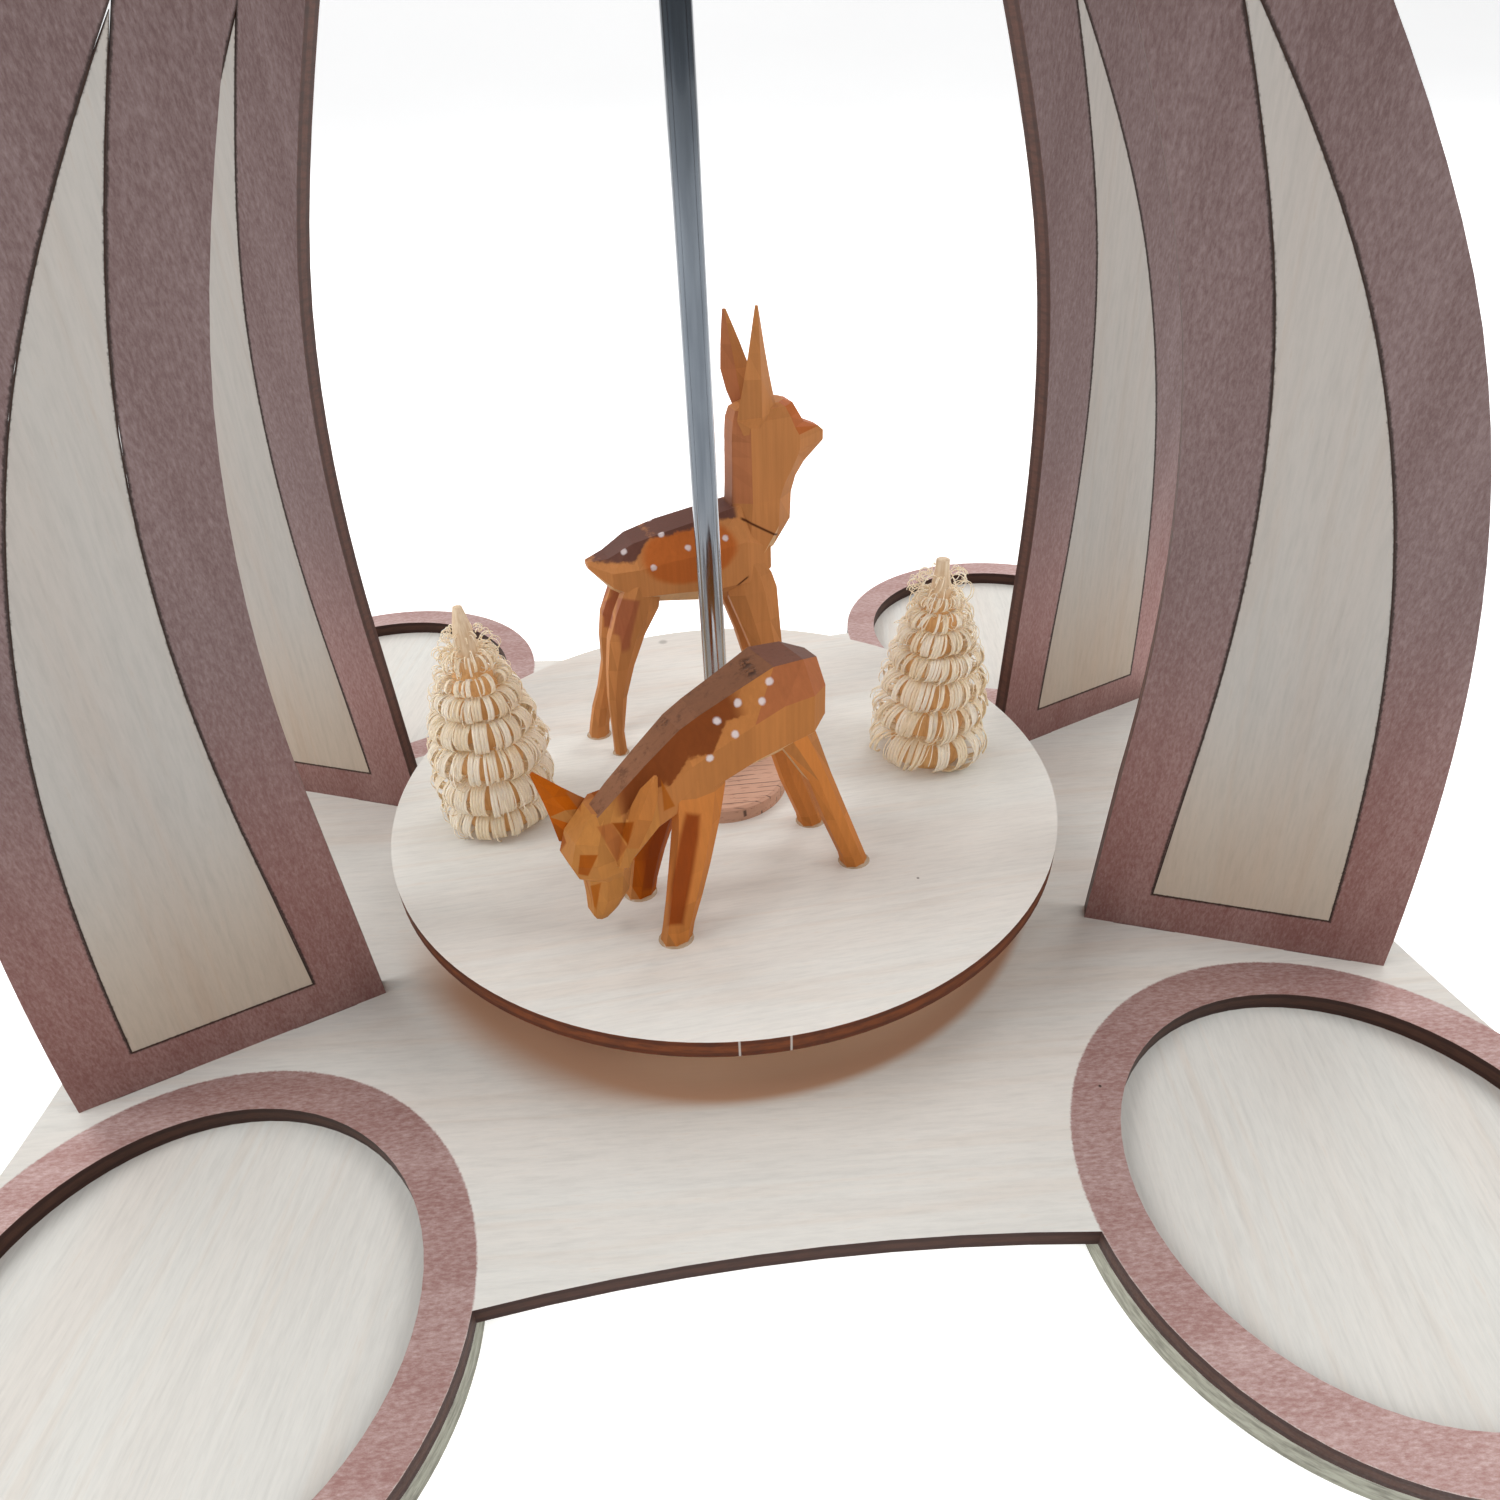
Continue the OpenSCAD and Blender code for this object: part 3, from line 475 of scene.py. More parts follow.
def beech_finish(name, turn=(0, 0, 0), cracked=False):
    """Turned beech: pink-brown, with fine grain lines, short dark flecks and fine drying cracks."""
    f = Finish(name)
    lines = f.noise((40, 900, 900), turn, detail=4.0, rough=0.6)
    flecks = f.noise((420, 2600, 2600), turn, detail=2.0, rough=0.6).ramp(0.58, 0.70)
    broad = f.noise((6, 90, 90), turn, detail=2.0)
    colour = f.mix(broad, BEECH, BEECH_LIGHT)
    colour = f.mix(flecks * 0.55, colour, BEECH_FLECK)
    if cracked:
        waver = f.noise((60, 60, 60), detail=2.0) * (1.2 * MM)
        row = abs(f.math("FRACT", (f.y + waver) / (1.3 * MM)) - 0.5)
        split = (1 - row.ramp(0.02, 0.09)) * f.noise((220, 700, 700), turn, detail=1.0).ramp(0.40, 0.56)
        colour = f.mix(split * 0.75, colour, BEECH_CRACK)
        lines = lines - split * 2.0
    return f.done(Base_Color=f.shade(colour, 0.86 + lines * 0.28), Roughness=0.56 + lines * 0.12,
                  Normal=f.bump(lines - flecks * 0.6, 0.06 * MM, 0.6))


def steel_finish():
    """Drawn steel with fine lengthwise streaks, and a painted reflection: lighter towards the foot, darker
    and bluer towards the top.
    """
    f = Finish("drawn_steel")
    drawn = f.noise((3200, 3200, 18), detail=4.0, rough=0.6)
    cloud = f.noise((500, 500, 60), detail=2.0).ramp(0.3, 0.7)
    reflection_low = f.mix(cloud, STEEL_REFLECTION_LOW, STEEL_REFLECTION_LOW_LIGHT)
    reflection_high = f.mix(cloud, STEEL_REFLECTION_HIGH, STEEL_REFLECTION_HIGH_LIGHT)
    colour = f.mix(f.z.ramp(45 * MM, 85 * MM), reflection_low, reflection_high)
    return f.done(Base_Color=f.shade(colour, 0.76 + drawn * 0.48), Metallic=1.0,
                  Roughness=0.10 + drawn * 0.14, Coat_Weight=0.9, Coat_Roughness=0.06,
                  Normal=f.bump(drawn, METAL_DEPTH, 0.4))


def brass_finish():
    """Turned brass with fine rings."""
    f = Finish("turned_brass")
    turned = f.noise((300, 300, 5200), detail=3.0)
    return f.done(Base_Color=f.mix(turned, BRASS, BRASS_LIGHT), Metallic=1.0,
                  Roughness=0.22 + turned * 0.2, Normal=f.bump(turned, METAL_DEPTH, 0.4))


def glaze_finish(name, turn, plate=None):
    """The mauve glaze, all over a piece or on the faces of a level plate with burnt edges."""
    f = Finish(name)
    colour, speckle = glaze_face(f, turn)
    metal = GLAZE_METAL
    if plate:
        low, high = (corner.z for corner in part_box(plate))
        level = f.facing(UPWARDS)
        colour = f.mix(level, burnt_edge(f, BURNT, BURNT_WARM, (f.z - low) / (high - low)), colour)
        metal = level * GLAZE_METAL
    return f.done(Base_Color=colour, Roughness=glaze_roughness(speckle), Metallic=metal,
                  Normal=f.bump(speckle, GRAIN_DEPTH, 0.5))


# Stains of the fawns as linear light
AMBER = (0.48, 0.200, 0.066)
ORANGE = (0.44, 0.118, 0.024)
RUSSET = (0.33, 0.105, 0.046)
NAPE = (0.40, 0.150, 0.062)
PALE = (0.56, 0.340, 0.160)
UMBER = (0.120, 0.050, 0.036)
FLANK = (0.430, 0.166, 0.046)
LEG = (0.510, 0.178, 0.040)
SHIN = (0.240, 0.042, 0.002)
FAR_LEG = (0.380, 0.084, 0.002)
BAND = (0.190, 0.048, 0.010)
RUMP = (0.400, 0.132, 0.048)
HONEY = (0.440, 0.182, 0.045)
TAUPE = (0.200, 0.086, 0.043)
CROUP = (0.156, 0.064, 0.040)
STRIPE_FADED = (0.28, 0.130, 0.070)
STRIPE_RUBBED = (0.09, 0.038, 0.022)
EYE_PATCH = (0.300, 0.068, 0.001)
MUZZLE = (0.350, 0.095, 0.006)
THROAT = (0.360, 0.115, 0.028)
# Painted shade in the crease between the grazing fawn's cheek and ear
PAINTED_CREASE_SHADE = (0.260, 0.055, 0.001)
KNIFE_LINE = (0.10, 0.03, 0.01)
KNOT = (0.045, 0.020, 0.012)
EAR = (0.420, 0.092, 0.001)
EAR_HONEY = (0.420, 0.152, 0.034)
DOT = (0.70, 0.62, 0.62)


def opaque(colour):
    return (*colour, 1)


def stain_finish(name, stand, overlays, patches, dots, knots):
    """Stained carved wood: a tone for each facet, brushed patches and, on the grazing fawn, a patch of
    painted shade in a crease, painted dots and open knots.
    """
    f = Finish(name)
    x, y, z = f.own_frame(stand)
    grain = f.noise((1500, 1500, 60), detail=4.0, rough=0.62)
    cloud = f.noise((140, 140, 70), detail=3.0)
    brush = f.noise((900, 900, 900), detail=3.0, rough=0.6)
    colour = f.attribute("stain", "Color")
    for mask, tone in overlays(f, x, y, z, brush):
        colour = f.mix(mask, colour, opaque(tone))
    for corners, sight, tone, soft in patches:
        colour = f.mix(f.flat(corners, sight, soft * MM) * 0.95, colour, opaque(tone))
    colour = f.shade(colour, 0.70 + grain * 0.36 + cloud * 0.24)
    height = grain + cloud * 2
    pits = 0.0
    for at, reach in knots:
        pits = (f.spot(at, reach, reach * 0.6) * brush.ramp(0.42, 0.56)).max(pits)
    if knots:
        colour = f.mix(pits * 0.9, colour, opaque(KNOT))
        height = height - pits * 6
    painted = 0.0
    for at in dots:
        rim = f.distance(at) + (brush - 0.5) * (0.6 * MM)
        painted = (1 - rim.ramp(0.34 * MM, 0.72 * MM)).max(painted)
    colour = f.mix(painted * 0.84, colour, opaque(DOT))
    return f.done(Base_Color=colour, Roughness=0.44 + grain * 0.16 + painted * 0.2,
                  Specular_IOR_Level=0.09, Normal=f.bump(height + painted * 3, GRAIN_DEPTH, 0.6))


def stroke(x, z, start, end, width):
    """A knife line between two places on the side of a figure, in its own frame."""
    run = Vector(end) - Vector(start)
    long = run.length
    run.normalize()
    along = (x - start[0] * MM) * run.x + (z - start[1] * MM) * run.y
    aside = (z - start[1] * MM) * run.x - (x - start[0] * MM) * run.y
    ends = along.ramp(0, 0.8 * MM) * (1 - along.ramp((long - 0.8) * MM, long * MM))
    return (1 - abs(aside).ramp(0.2 * width * MM, width * MM)) * ends


def standing_overlays(f, x, y, z, brush):
    """An orange saddle, an umber back and two knife lines."""
    wobble = (brush - 0.5) * (1.2 * MM)
    saddle = ((((x - 1.2 * MM) / (9.0 * MM)) ** 2.0) + (((z - 38.2 * MM) / (5.4 * MM)) ** 2.0)).root()
    saddle = (1 - (saddle + wobble * 60).ramp(0.86, 1.06)) * abs(y).ramp(2 * MM, 4 * MM)
    back = 38.3 * MM + x.ramp(-9.5 * MM, -5 * MM) * (3.2 * MM) + x.ramp(-5 * MM, 9 * MM) * (0.9 * MM)
    umber = (z - back + wobble).ramp(-0.25 * MM, 0.35 * MM) * (1 - x.ramp(10.2 * MM, 11.4 * MM))
    crease = stroke(x, z, (11.2, 42.4), (19.2, 37.2), 0.34)
    notch = stroke(x, z, (9.2, 30.2), (12.2, 31.8), 0.3)
    return [(saddle, ORANGE), (umber, UMBER), (crease.max(notch), KNIFE_LINE)]


def grazing_overlays(f, x, y, z, brush):
    """A zigzag band under the back, and a stripe along the back that is faded and rubbed."""
    wobble = (brush - 0.5) * (1.0 * MM)
    zigzag = f.math("PINGPONG", x + 1.5 * MM, 3.2 * MM)
    edge = 37.6 * MM - x * 0.56 - zigzag * 0.45
    band = (z - edge + wobble).ramp(-0.2 * MM, 0.2 * MM)
    band = band * x.ramp(1 * MM, 4 * MM) * (1 - x.ramp(20 * MM, 23 * MM))
    band = band * (1 - abs(y).ramp(4.3 * MM, 4.7 * MM) * x.ramp(14.5 * MM, 15.5 * MM))
    stripe = f.attribute("stripe")
    fade = x.ramp(8 * MM, 20 * MM) * 0.6
    rubbed = stripe * f.noise((900, 900, 500), detail=4.0, rough=0.7).ramp(0.50, 0.72)
    return [(band * (1 - stripe), BAND), (stripe * fade, STRIPE_FADED), (rubbed * 0.6, STRIPE_RUBBED)]


def standing_tint(at, normal):
    """Tone of a facet of the standing fawn by its place in millimetres and its direction."""
    leg = at.z < 31 and abs(at.x) > 6
    belly = normal.z < -0.3 and at.z < 36
    nape = at.z > 44 and normal.x < -0.45 and at.x < 14.5
    brow = at.x > 19 and at.z > 55.5 and normal.z > 0.2
    if leg:
        return AMBER
    if belly:
        return PALE
    if nape:
        return NAPE
    return ORANGE if brow else AMBER


def grazing_tint(at, normal):
    """Tone of a facet of the grazing fawn by its place in millimetres and its direction."""
    leg = at.z < 24 and at.x < 17.6 and abs(at.y) > 2.4
    near_ear = at.z > 19 and at.y > 4.6 and at.x > 15
    far_ear = at.z > 19.5 and at.y < -3.5 and at.x > 24.5
    head = at.x > 18.6 and at.z < 33 and (at.z < 24 or abs(at.y) > 3)
    back = normal.z > 0.6 and abs(at.y) < 1.5
    rump = at.x < -2 and at.z > 35
    if leg:
        return FAR_LEG if at.x > 0 and at.y < 0 else LEG
    if near_ear:
        return EAR_HONEY
    if far_ear:
        return EAR
    if head:
        return HONEY
    if back:
        return CROUP if at.x < -3.5 else TAUPE
    if rump:
        return RUMP
    return PALE if normal.z < -0.3 else FLANK


def put(name, bm, material, body, replaced=(), smooth=False):
    """Makes a piece of a mesh that is in place, gives it its finish and lets it ride on a body."""
    mesh = bpy.data.meshes.new(name)
    bm.to_mesh(mesh)
    bm.free()
    piece = bpy.data.objects.new(name, mesh)
    bpy.context.scene.collection.objects.link(piece)
    mesh.materials.append(material)
    for face in mesh.polygons:
        face.use_smooth = smooth
    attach(piece, body)
    if replaced:
        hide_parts(*replaced)
    return piece


def paint(name, material):
    """Gives a CAD piece its finish."""
    node = nodes[name]
    node.data.materials.clear()
    node.data.materials.append(material)


def solid_copy(name):
    """A merged copy of a CAD piece's mesh."""
    bm = bmesh.new()
    bm.from_mesh(nodes[name].data)
    bmesh.ops.remove_doubles(bm, verts=bm.verts, dist=1e-6)
    bmesh.ops.dissolve_limit(bm, angle_limit=math.radians(1), verts=bm.verts, edges=bm.edges)
    return bm


def smooth_step(value, low, high):
    """0 below low, 1 above high and a smooth rise between them, as in a finish."""
    share = min(max((value - low) / (high - low), 0), 1)
    return share * share * (3 - 2 * share)


def bowed(name, turn):
    """A copy of an upright's piece that bows outwards between its foot and the crown plate."""
    bm = solid_copy(name)
    out = Vector((math.cos(turn), math.sin(turn), 0))
    for v in bm.verts:
        v.co += out * (BOW * smooth_step(v.co.z, *BOW_RISE) * (1 - smooth_step(v.co.z, *BOW_FALL)))
    return bm


def upright(corner):
    """The painted frame and the bare inlay of an upright."""
    turn = UPRIGHT_TURNS[corner]
    frame_glaze = upright_finish(f"frame_glaze_{corner}", turn, True)
    inlay_ply = upright_finish(f"inlay_ply_{corner}", turn, False)
    for name, finish, slot in ((f"upright_frame_{corner}", frame_glaze, "mauve_glaze"),
                               (f"upright_inlay_{corner}", inlay_ply, "bare_ply")):
        put(f"bowed_{name}", bowed(name, turn), finish, "stand", [name])


def saw_line(corner, glue):
    """Scorched glue that fills the saw line about an inlay: a dark sheet that is also painted shade of the
    narrow slit.
    """
    turn = UPRIGHT_TURNS[corner]
    bm = bowed(f"upright_inlay_{corner}", turn)
    across = Vector((-math.sin(turn), math.cos(turn), 0))
    bm.normal_update()
    broad = [face for face in bm.faces if abs(face.normal.dot(across)) > 0.5]
    bmesh.ops.delete(bm, geom=broad, context="FACES")
    strip = put(f"saw_line_{corner}", bm, glue, "stand")
    fill = strip.modifiers.new("glue_thickness", "SOLIDIFY")
    fill.thickness = SAW_LINE
    fill.offset = 1


def glue_and_shade_finish():
    """Glue darkened by the scorched edges of a saw line, and as painted shade of the narrow slit."""
    f = Finish("glue_and_slit_shade")
    crust = f.noise((1600, 1600, 1600), detail=3.0, rough=0.65)
    return f.done(Base_Color=f.mix(crust, SLIT_GLUE_AND_SHADE, SLIT_GLUE_AND_SHADE_LIGHT), Roughness=0.6 + crust * 0.3,
                  Specular_IOR_Level=0.2, Normal=f.bump(crust, GRAIN_DEPTH, 0.6))


def carved_fawn(node, stand, tint, overlays, carving, patch_px, dot_px, knot_px):
    """The carving with its knife facets: the stain's tone is set facet by facet."""
    bm = solid_copy(node)
    stain = bm.faces.layers.float_color.new("stain")
    stripe = bm.faces.layers.float.new("stripe")
    place = Matrix.Translation(stand["at"]) @ Matrix.Rotation(stand["turn"], 4, "Z")
    home = place.inverted()
    for low, high, back, lift in carving:
        ring = [v for v in bm.verts if low < (home @ v.co).z / MM < high and (home @ v.co).x / MM > back]
        bmesh.ops.translate(bm, verts=ring, vec=(0, 0, lift * MM))
    bm.normal_update()
    chance = random.Random(node)
    for face in bm.faces:
        middle = (home @ face.calc_center_median()) / MM
        normal = home.to_3x3() @ face.normal
        tone = tint(middle, normal)
        own = chance.uniform(0.90, 1.08)
        face[stain] = (*(c * own for c in tone), 1)
        face[stripe] = 1.0 if tone in (CROUP, TAUPE) else 0.0
    surface = BVHTree.FromBMesh(bm)

    def seen(u, v):
        return surface.ray_cast(EYE, look(u, v))[0]

    def both(at):
        """A place on the carving and its twin on the other side."""
        twin = home @ at
        twin.y = -twin.y
        return at, surface.find_nearest(place @ twin)[0]

    dots = [at for u, v in dot_px for at in both(seen(u, v))]
    patches = []
    for corner_px, tone, soft in patch_px:
        near, far = zip(*(both(seen(u, v)) for u, v in corner_px))
        sight = home.to_3x3() @ (near[0] - EYE)
        sight.y = -sight.y
        patches.append((list(near), near[0] - EYE, tone, soft))
        patches.append((list(far), place.to_3x3() @ sight, tone, soft))
    knots = [(seen(u, v), reach * MM) for u, v, reach in knot_px]
    finish = stain_finish(f"{node}_stain", stand, overlays, patches, dots, knots)
    soles = [face for face in bm.faces
             if face.normal.z < -0.9 and face.calc_center_median().z < DECK_TOP + 0.1 * MM]
    drops = [(face.calc_center_median(), GLUE_SPREAD * math.sqrt(face.calc_area() / math.pi))
             for face in soles]
    glue_beads(f"{node}_glue", drops)
    piece = put(f"carved_{node}", bm, finish, "carousel", [node])
    rim = piece.modifiers.new("knife_edges", "BEVEL")
    rim.width = KNIFE_EDGE
    rim.segments = 2
    rim.limit_method = "ANGLE"
    rim.angle_limit = KNIFE_ANGLE


def glue_beads(name, places):
    """Clear drops of glue that have run out under the hooves and set in low rings."""
    bm = bmesh.new()
    for at, reach in places:
        drop = bmesh.ops.create_uvsphere(bm, u_segments=20, v_segments=10, radius=1.0)["verts"]
        bmesh.ops.scale(bm, verts=drop, vec=(reach, 0.86 * reach, GLUE_RISE))
        bmesh.ops.translate(bm, verts=drop, vec=at)
    bmesh.ops.bisect_plane(bm, geom=bm.verts[:] + bm.edges[:] + bm.faces[:], plane_co=(0, 0, DECK_TOP),
                           plane_no=UPWARDS, clear_inner=True)
    bmesh.ops.holes_fill(bm, edges=bm.edges)
    bmesh.ops.recalc_face_normals(bm, faces=bm.faces)
    f = Finish(name)
    haze = f.noise((700, 700, 700), detail=3.0)
    clear = f.done(Base_Color=f.mix(haze, HOOF_GLUE, HOOF_GLUE_LIGHT),
                   Roughness=0.10 + haze * 0.15, Alpha=0.55)
    put(name, bm, clear, "carousel", smooth=True)


def shaving_finish():
    """Thin cream shavings with silky fibres along them, and a faint painted glow that stands for light
    through them.
    """
    f = Finish("cream_shavings")
    tone = f.attribute("tone")
    fibre = f.noise((3800, 3800, 260), detail=3.0, rough=0.65)
    colour = f.mix(tone, CREAM, CREAM_LIGHT)
    return f.done(Base_Color=f.shade(colour, 0.84 + fibre * 0.30), Roughness=0.34 + fibre * 0.2,
                  Emission_Color=CREAM_PAINTED_GLOW, Emission_Strength=0.04, Subsurface_Weight=0.4,
                  Subsurface_Radius=(1.4 * MM, 0.9 * MM, 0.55 * MM), Subsurface_Scale=1.0,
                  Normal=f.bump(fibre, GRAIN_DEPTH, 0.5))


def stick_finish():
    """The trees' sticks: tan wood with grain upwards, and a painted glow for the light through the thin
    shavings.
    """
    f = Finish("tree_stick_wood")
    grain = f.noise((2200, 2200, 90), detail=4.0, rough=0.6)
    veins = grain.ramp(0.3, 0.7)
    tip = f.z.ramp(DECK_TOP + 30 * MM, DECK_TOP + 35 * MM)
    colour = f.mix(tip, f.mix(veins, STICK, STICK_LIGHT), f.mix(veins, TIP, TIP_LIGHT))
    glow = f.mix(tip, STICK_PAINTED_GLOW, TIP_PAINTED_GLOW)
    return f.done(Base_Color=colour, Roughness=0.55 + grain * 0.15, Emission_Color=glow,
                  Emission_Strength=0.15, Normal=f.bump(grain, GRAIN_DEPTH, 0.5))


def shaving(foot, turn, tier, width, slant, wild, chance):
    """One shaving as a mesh: it rises from the stick, rolls over outwards and ends in frayed strands."""
    low, high, reach = tier
    out = Vector((math.cos(turn), math.sin(turn), 0))
    side = Vector((-math.sin(turn), math.cos(turn), 0))
    up = Vector(UPWARDS)
    roll = 0.5 * (high - low) * chance.uniform(0.90 - 0.5 * wild, 1.03 + 0.1 * wild)
    slant += wild * chance.uniform(-0.5, 0.5) * roll
    axis = foot + out * (reach * chance.uniform(0.97, 1.03 + 0.08 * wild) - roll)
    axis += up * (high - roll + 0.3 * wild * roll * chance.uniform(-1, 1))
    start = math.radians(chance.uniform(135, 165))
    root = axis + roll * (math.cos(start) * out + math.sin(start) * up)
    sweep = start + math.radians(chance.uniform(45, 115) + 100 * wild * chance.uniform(-1, 1))
    strands = max(1, round(width / STRAND))
    bm = bmesh.new()
    tone = bm.faces.layers.float.new("tone")
    for k in range(strands):
        ends = [root + side * (width * ((k + j) / strands - 0.5)) for j in (0, 1)]
        edge = bm.edges.new([bm.verts.new(end) for end in ends])
        fray = sweep + math.radians(chance.uniform(-34, 14))
        bmesh.ops.spin(bm, geom=list(edge.verts) + [edge], cent=axis, axis=side, angle=fray,
                       steps=CURL_STEPS, dvec=(side * slant - out * 0.12 * roll) / CURL_STEPS)
    shade = chance.uniform(0.2, 1.0)
    for face in bm.faces:
        face[tone] = shade
    mesh = bpy.data.meshes.new("shaving")
    bm.to_mesh(mesh)
    bm.free()
    return mesh


def tree_stick(node, foot, tiers, tip, wood):
    """The turned stick of a ring tree, which swells behind each tier."""
    widest = tiers[0][2]
    outline = [(0, 0.0), (0.62 * widest, 0.0)]
    for bottom, top, _, width, core in tiers:
        rise = top - bottom
        if width >= HAIR:
            outline += [(core + 0.10 * rise, bottom + 0.1 * rise), (core + 0.13 * rise, bottom + 0.5 * rise),
                        (core, top - 0.2 * rise)]
    outline += tip
    bm = bmesh.new()
    verts = [bm.verts.new(foot + Vector((r, 0, z)) * MM) for r, z in outline]
    edges = [bm.edges.new(pair) for pair in zip(verts, verts[1:])]
    bmesh.ops.spin(bm, geom=verts + edges, cent=foot, axis=UPWARDS, angle=math.tau, steps=40, use_merge=True)
    bmesh.ops.remove_doubles(bm, verts=bm.verts, dist=1e-6)
    bmesh.ops.recalc_face_normals(bm, faces=bm.faces)
    put(f"{node}_stick", bm, wood, "carousel", [node], smooth=True)


def tree_curls(node, foot, tiers, slant, chance, cream):
    """The curled shavings of a ring tree, tier by tier, with loose hairs among them."""
    bm = bmesh.new()
    for bottom, top, reach, width, _ in tiers:
        tier = (bottom * MM, top * MM, reach * MM)
        collar = reach - 0.3 * (top - bottom)
        lean = slant * (top - bottom) / 6
        fine = width < FINE
        strips = []
        turn = chance.uniform(0, 1)
        end = turn + math.tau
        while turn < end and width >= HAIR:
            broad = width * chance.choice((0.25, 0.45, 0.7, 1.0, 1.0))
            turn += 0.5 * broad / collar
            strips.append((turn, broad, 0.45 if fine else 0.12))
            spare = chance.uniform(0.2, 2.0) if fine else chance.uniform(-0.08, 0.34)
            turn += (0.5 + spare) * broad / collar
        strips += [(chance.uniform(0, math.tau), chance.uniform(0.12, 0.22), 1.0) for _ in range(LOOSE_HAIRS)]
        for turn, broad, wild in strips:
            tilt = lean * chance.uniform(0.3, 1.4) * MM
            mesh = shaving(foot, turn, tier, broad * MM, tilt, wild, chance)
            bm.from_mesh(mesh)
            bpy.data.meshes.remove(mesh)
    curls = put(f"{node}_curls", bm, cream, "carousel", smooth=True)
    thick = curls.modifiers.new("shaving_thickness", "SOLIDIFY")
    thick.thickness = SHAVING_THICK
    thick.offset = 0


def ring_tree(node, tiers, slant, tip, seed):
    """A ring tree: a turned stick and its tiers of curled shavings."""
    low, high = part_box(node)
    middle = (low + high) / 2
    foot = Vector((middle.x, middle.y, low.z))
    tree_stick(node, foot, tiers, tip, stick_wood)
    tree_curls(node, foot, tiers, slant, random.Random(seed), shavings)


# Finishes of the CAD pieces, with specks where the camera sees them
LEVEL_GRAIN = (0, 0, math.radians(4))
BASE_GRAIN = (0, 0, math.radians(-3))
FOOT_GRAIN = (0, 0, math.radians(80))
base_specks = [(seen_level(1185, 1082, BASE_LOW), 0.25 * MM, 0.6),
               (seen_level(1100, 1086, BASE_TOP), 0.22 * MM, 0.9)]
deck_specks = [(seen_level(663, 642, DECK_TOP), 0.9 * MM, 0.35),
               (seen_level(918, 878, DECK_TOP), 0.22 * MM, 0.7)]
paint("base_plate", plate_finish("base_ply", BASE_GRAIN, rings=True, specks=base_specks))
# Painted light: the turntable's wood is made 6 % lighter against the shade of the crown and rotor above it
paint("turntable", plate_finish("turntable_ply", LEVEL_GRAIN, DECK_BURNT, DECK_BURNT_WARM, light=1.06,
                                nicks=NICKS, specks=deck_specks))
foot_ply = plate_finish("foot_ply", FOOT_GRAIN, FOOT_EDGE, FOOT_EDGE_LIGHT, light=0.95)
for corner in CORNERS:
    paint(f"foot_disc_{corner}", foot_ply)
    upright(corner)
beech = beech_finish("turned_beech")
for name in ["bearing_block", "rotor_hub"] + [f"blade_peg_{i}" for i in BLADES]:
    paint(name, beech)
paint("turntable_hub", beech_finish("cracked_beech", cracked=True))
paint("spindle", steel_finish())
brass = brass_finish()
for name in ("bearing_cup", "crown_bush"):
    paint(name, brass)
paint("crown_plate", glaze_finish("crown_glaze", LEVEL_GRAIN, "crown_plate"))
glaze = glaze_finish("rotor_glaze", LEVEL_GRAIN)
for name in ["rotor_finial"] + [f"blade_{i}" for i in BLADES]:
    paint(name, glaze)

glue_and_slit_shade = glue_and_shade_finish()
for corner in CORNERS:
    saw_line(corner, glue_and_slit_shade)

# Fawns: raised rings of the carving, then patches, dots and knots where the camera sees them
carved_fawn("grazing_fawn", GRAZING, grazing_tint, grazing_overlays,
            [(10.4, 10.8, 19.5, 2.2), (12.0, 12.4, 19.5, 2.1)],
            [([(580, 855), (598, 855), (588, 876), (578, 874)], EYE_PATCH, 0.12),
             ([(590, 886), (601, 883), (596, 909), (594, 906)], MUZZLE, 0.12),
             ([(597, 827), (612, 823), (627, 847), (617, 862)], THROAT, 0.15),
             # painted shade in the crease between cheek and ear
             ([(612, 823), (634, 822), (628, 845)], PAINTED_CREASE_SHADE, 0.15),
             ([(661, 780), (675, 806), (664, 811)], MUZZLE, 0.12),
             ([(686, 813), (700, 815), (699, 835), (691, 884), (683, 924),
               (668, 925), (671, 884), (680, 837)], SHIN, 0.45)],
            [(769, 681), (738, 703), (762, 701), (717, 721), (735, 734), (710, 758)],
            [(745, 664, 1.1), (751, 672, 0.9), (662, 724, 0.8)])
carved_fawn("standing_fawn", STANDING, standing_tint, standing_overlays, [],
            [([(604, 602), (613, 596), (611, 628), (604, 627)], RUSSET, 0.3),
             ([(618, 598), (640, 601), (631, 638), (613, 634)], RUSSET, 0.3)],
            [(624, 552), (661, 534), (654, 568), (688, 548), (725, 538)], [])

# Ring trees: each tier's foot, top, reach, shavings' width and stick's radius, the shavings' slant,
# and the outline of the tip, in millimetres
shavings = shaving_finish()
stick_wood = stick_finish()
ring_tree("ring_tree_left",
          [(0.2, 5.5, 9.8, 2.4, 5.6), (5.6, 11.5, 10.0, 2.5, 5.4), (11.9, 17.9, 9.9, 2.0, 5.0),
           (18.0, 23.1, 8.8, 2.4, 4.6), (23.2, 27.2, 7.3, 1.6, 4.0), (27.3, 30.3, 6.0, 0.8, 3.0),
           (30.5, 33.4, 4.5, 0.5, 2.2), (31.6, 34.9, 5.2, 0.3, 1.9), (35.0, 37.0, 3.2, 0.3, 1.7)],
          -0.5, [(1.6, 36.9), (1.4, 38.2), (0.75, 41.1), (0, 41.3)], "left")
ring_tree("ring_tree_right",
          [(0.6, 6.9, 10.1, 2.4, 6.0), (7.1, 12.9, 9.5, 2.5, 5.6), (13.0, 18.6, 8.7, 2.5, 5.2),
           (18.9, 23.1, 7.9, 2.0, 4.6), (23.4, 27.3, 6.7, 1.6, 3.8), (27.4, 30.6, 5.4, 1.0, 2.8),
           (30.7, 33.0, 3.9, 0.5, 1.9), (31.4, 34.9, 5.2, 0.3, 1.6), (34.6, 37.0, 3.9, 0.3, 1.4)],
          -3.2, [(1.2, 37.4), (1.15, 39.0), (0, 39.1)], "right")

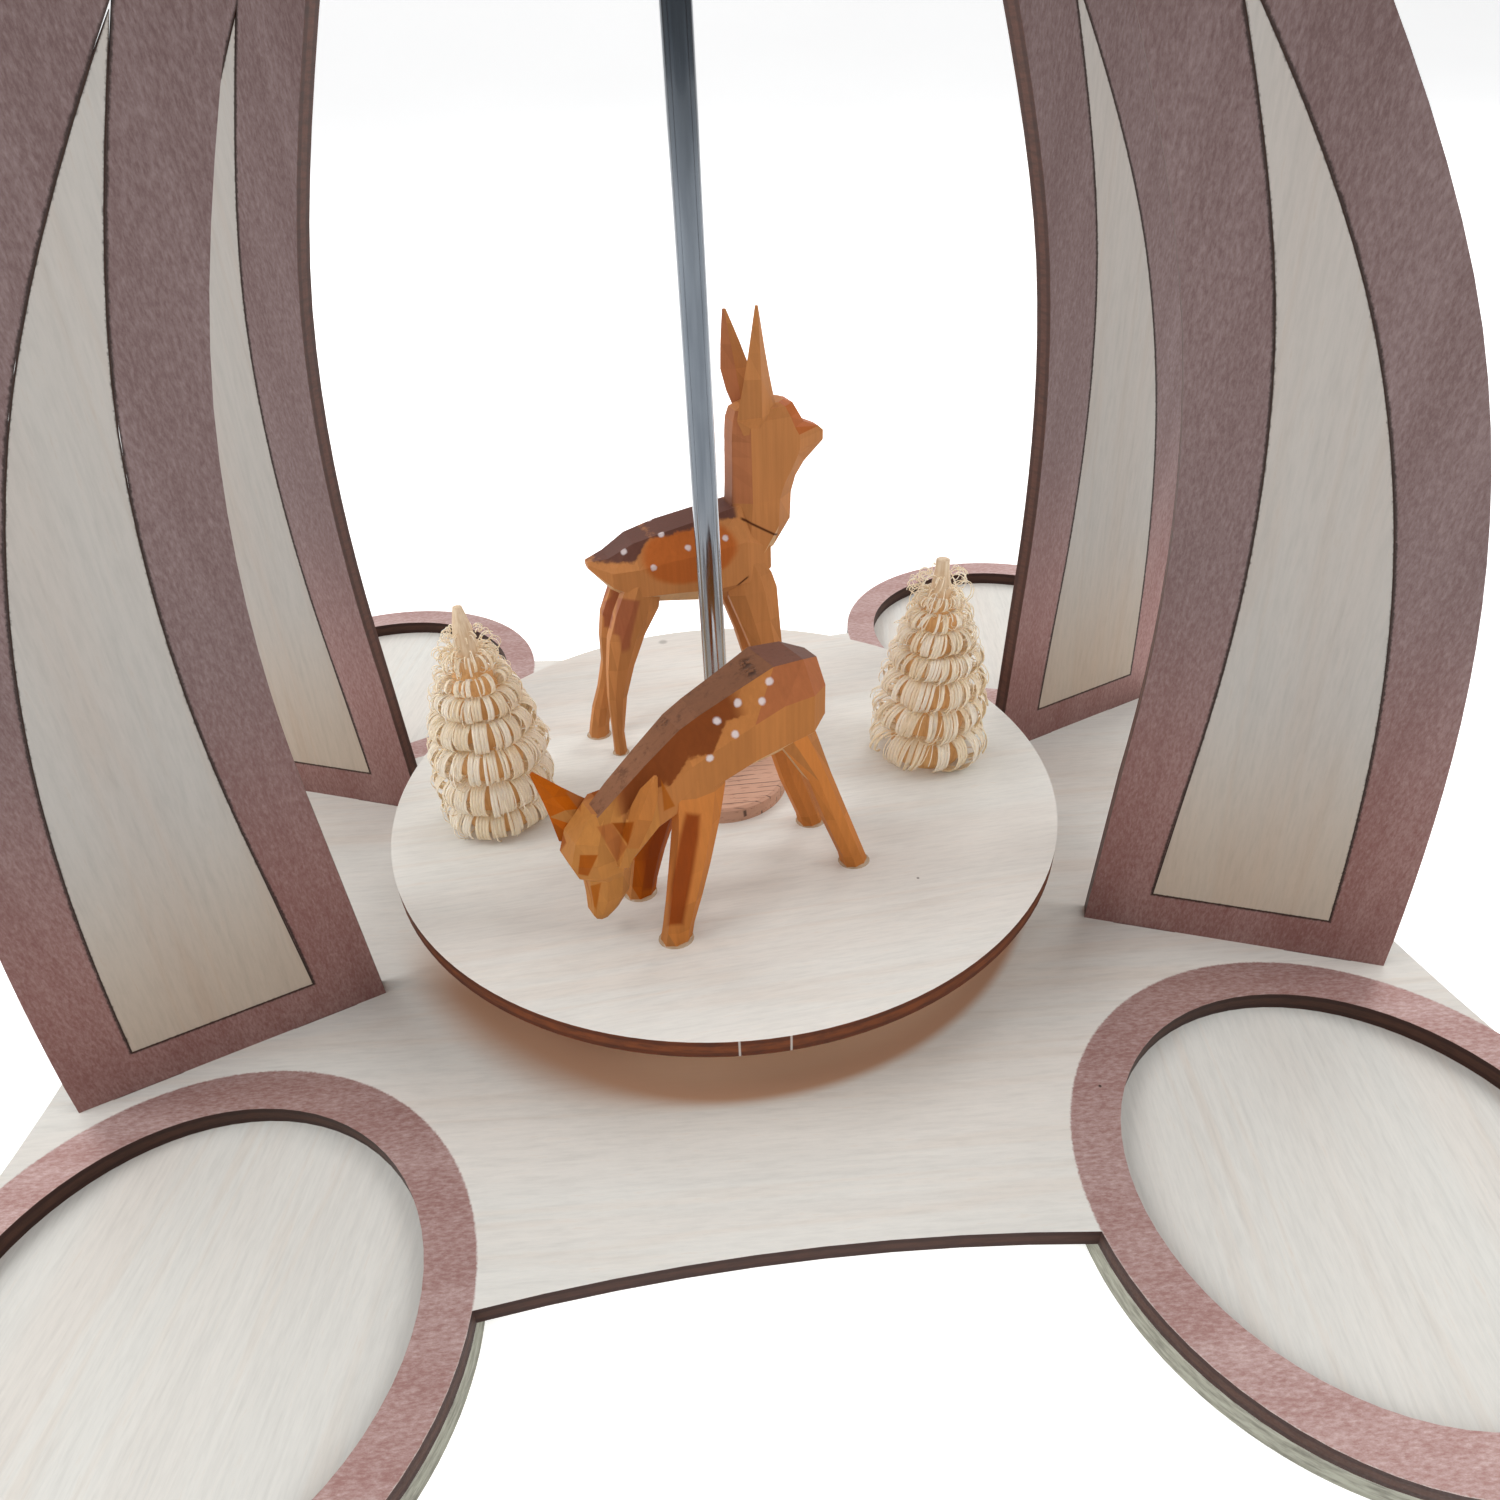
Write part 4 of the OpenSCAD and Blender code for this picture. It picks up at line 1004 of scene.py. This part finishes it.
# The studio in metres: the floor's half width, its front and rear ends and the radius of the sweep behind
FLOOR_HALF = 4
FLOOR_FRONT, FLOOR_REAR = -3, 2
SWEEP_R = 1.5
LAMP_AIM = Vector((0, 0, 0.05))
LAMPS = {"left": ((-1.1, -0.15, 1.0), 0.9, 12.5), "right": ((1.1, -0.15, 1.0), 0.9, 9),
         "rear_left": ((-0.7, 0.95, 0.95), 0.9, 6), "rear_right": ((0.7, 0.95, 0.95), 0.9, 7),
         "front": ((0.0, -1.2, 0.85), 1.0, 3), "overhead": ((0.0, 0.0, 1.7), 1.4, 3.5)}


def pale_floor():
    """A pale floor that sweeps up behind."""
    bm = bmesh.new()
    edge = bm.edges.new([bm.verts.new((x, FLOOR_FRONT, 0)) for x in (-FLOOR_HALF, FLOOR_HALF)])
    out = bmesh.ops.extrude_edge_only(bm, edges=[edge])["geom"]
    moved = [g for g in out if isinstance(g, bmesh.types.BMVert)]
    bmesh.ops.translate(bm, verts=moved, vec=(0, FLOOR_REAR - FLOOR_FRONT, 0))
    edges = [g for g in out if isinstance(g, bmesh.types.BMEdge)]
    bmesh.ops.spin(bm, geom=edges + moved, cent=(0, FLOOR_REAR, SWEEP_R), axis=(1, 0, 0),
                   angle=math.radians(90), steps=16)
    mesh = bpy.data.meshes.new("floor_sweep")
    bm.to_mesh(mesh)
    bm.free()
    sweep = bpy.data.objects.new("floor_sweep", mesh)
    bpy.context.scene.collection.objects.link(sweep)
    f = Finish("pale_floor")
    tone = f.noise((3, 3, 3), detail=2.0)
    white = f.mix(tone, (0.88, 0.88, 0.88, 1), (0.91, 0.91, 0.91, 1))
    mesh.materials.append(f.done(Base_Color=white, Roughness=0.9,
                                 Emission_Color=white, Emission_Strength=0.62))
    for face in mesh.polygons:
        face.use_smooth = True


def soft_room():
    """Even light from all sides, before a light grey backdrop."""
    world = bpy.data.worlds.new("soft_room")
    world.use_nodes = True
    room = world.node_tree
    glow = room.nodes["Background"]
    glow.inputs["Color"].default_value = (0.98, 0.99, 1.0, 1)
    glow.inputs["Strength"].default_value = 0.27
    backdrop = room.nodes.new("ShaderNodeBackground")
    backdrop.inputs["Color"].default_value = (0.93, 0.93, 0.93, 1)
    path = room.nodes.new("ShaderNodeLightPath")
    either = room.nodes.new("ShaderNodeMixShader")
    room.links.new(path.outputs["Is Camera Ray"], either.inputs[0])
    room.links.new(glow.outputs[0], either.inputs[1])
    room.links.new(backdrop.outputs[0], either.inputs[2])
    room.links.new(either.outputs[0], room.nodes["World Output"].inputs["Surface"])
    bpy.context.scene.world = world


def soft_lamps():
    """Broad lamps about the object: where each hangs, its size and its power."""
    for name, (at, size, power) in LAMPS.items():
        lamp = bpy.data.lights.new(name, "AREA")
        lamp.size = size
        lamp.energy = power
        holder = bpy.data.objects.new(name, lamp)
        holder.location = at
        holder.rotation_euler = (LAMP_AIM - Vector(at)).to_track_quat("-Z", "Y").to_euler()
        bpy.context.scene.collection.objects.link(holder)


def photo_camera():
    """The photograph's camera."""
    lens = bpy.data.cameras.new("photo_camera")
    lens.sensor_width = 36
    lens.sensor_fit = "HORIZONTAL"
    lens.lens = FOCAL_PX / FRAME_PX * lens.sensor_width
    lens.shift_x = 0.5 - CENTRE_PX[0] / FRAME_PX
    lens.shift_y = CENTRE_PX[1] / FRAME_PX - 0.5
    lens.clip_start = 0.01
    camera = bpy.data.objects.new("photo_camera", lens)
    camera.matrix_world = Matrix.Translation(EYE) @ Matrix((RIGHT, UP, -AHEAD)).transposed().to_4x4()
    bpy.context.scene.collection.objects.link(camera)
    bpy.context.scene.camera = camera
    bpy.context.scene.view_settings.view_transform = "Standard"


pale_floor()
soft_room()
soft_lamps()
photo_camera()
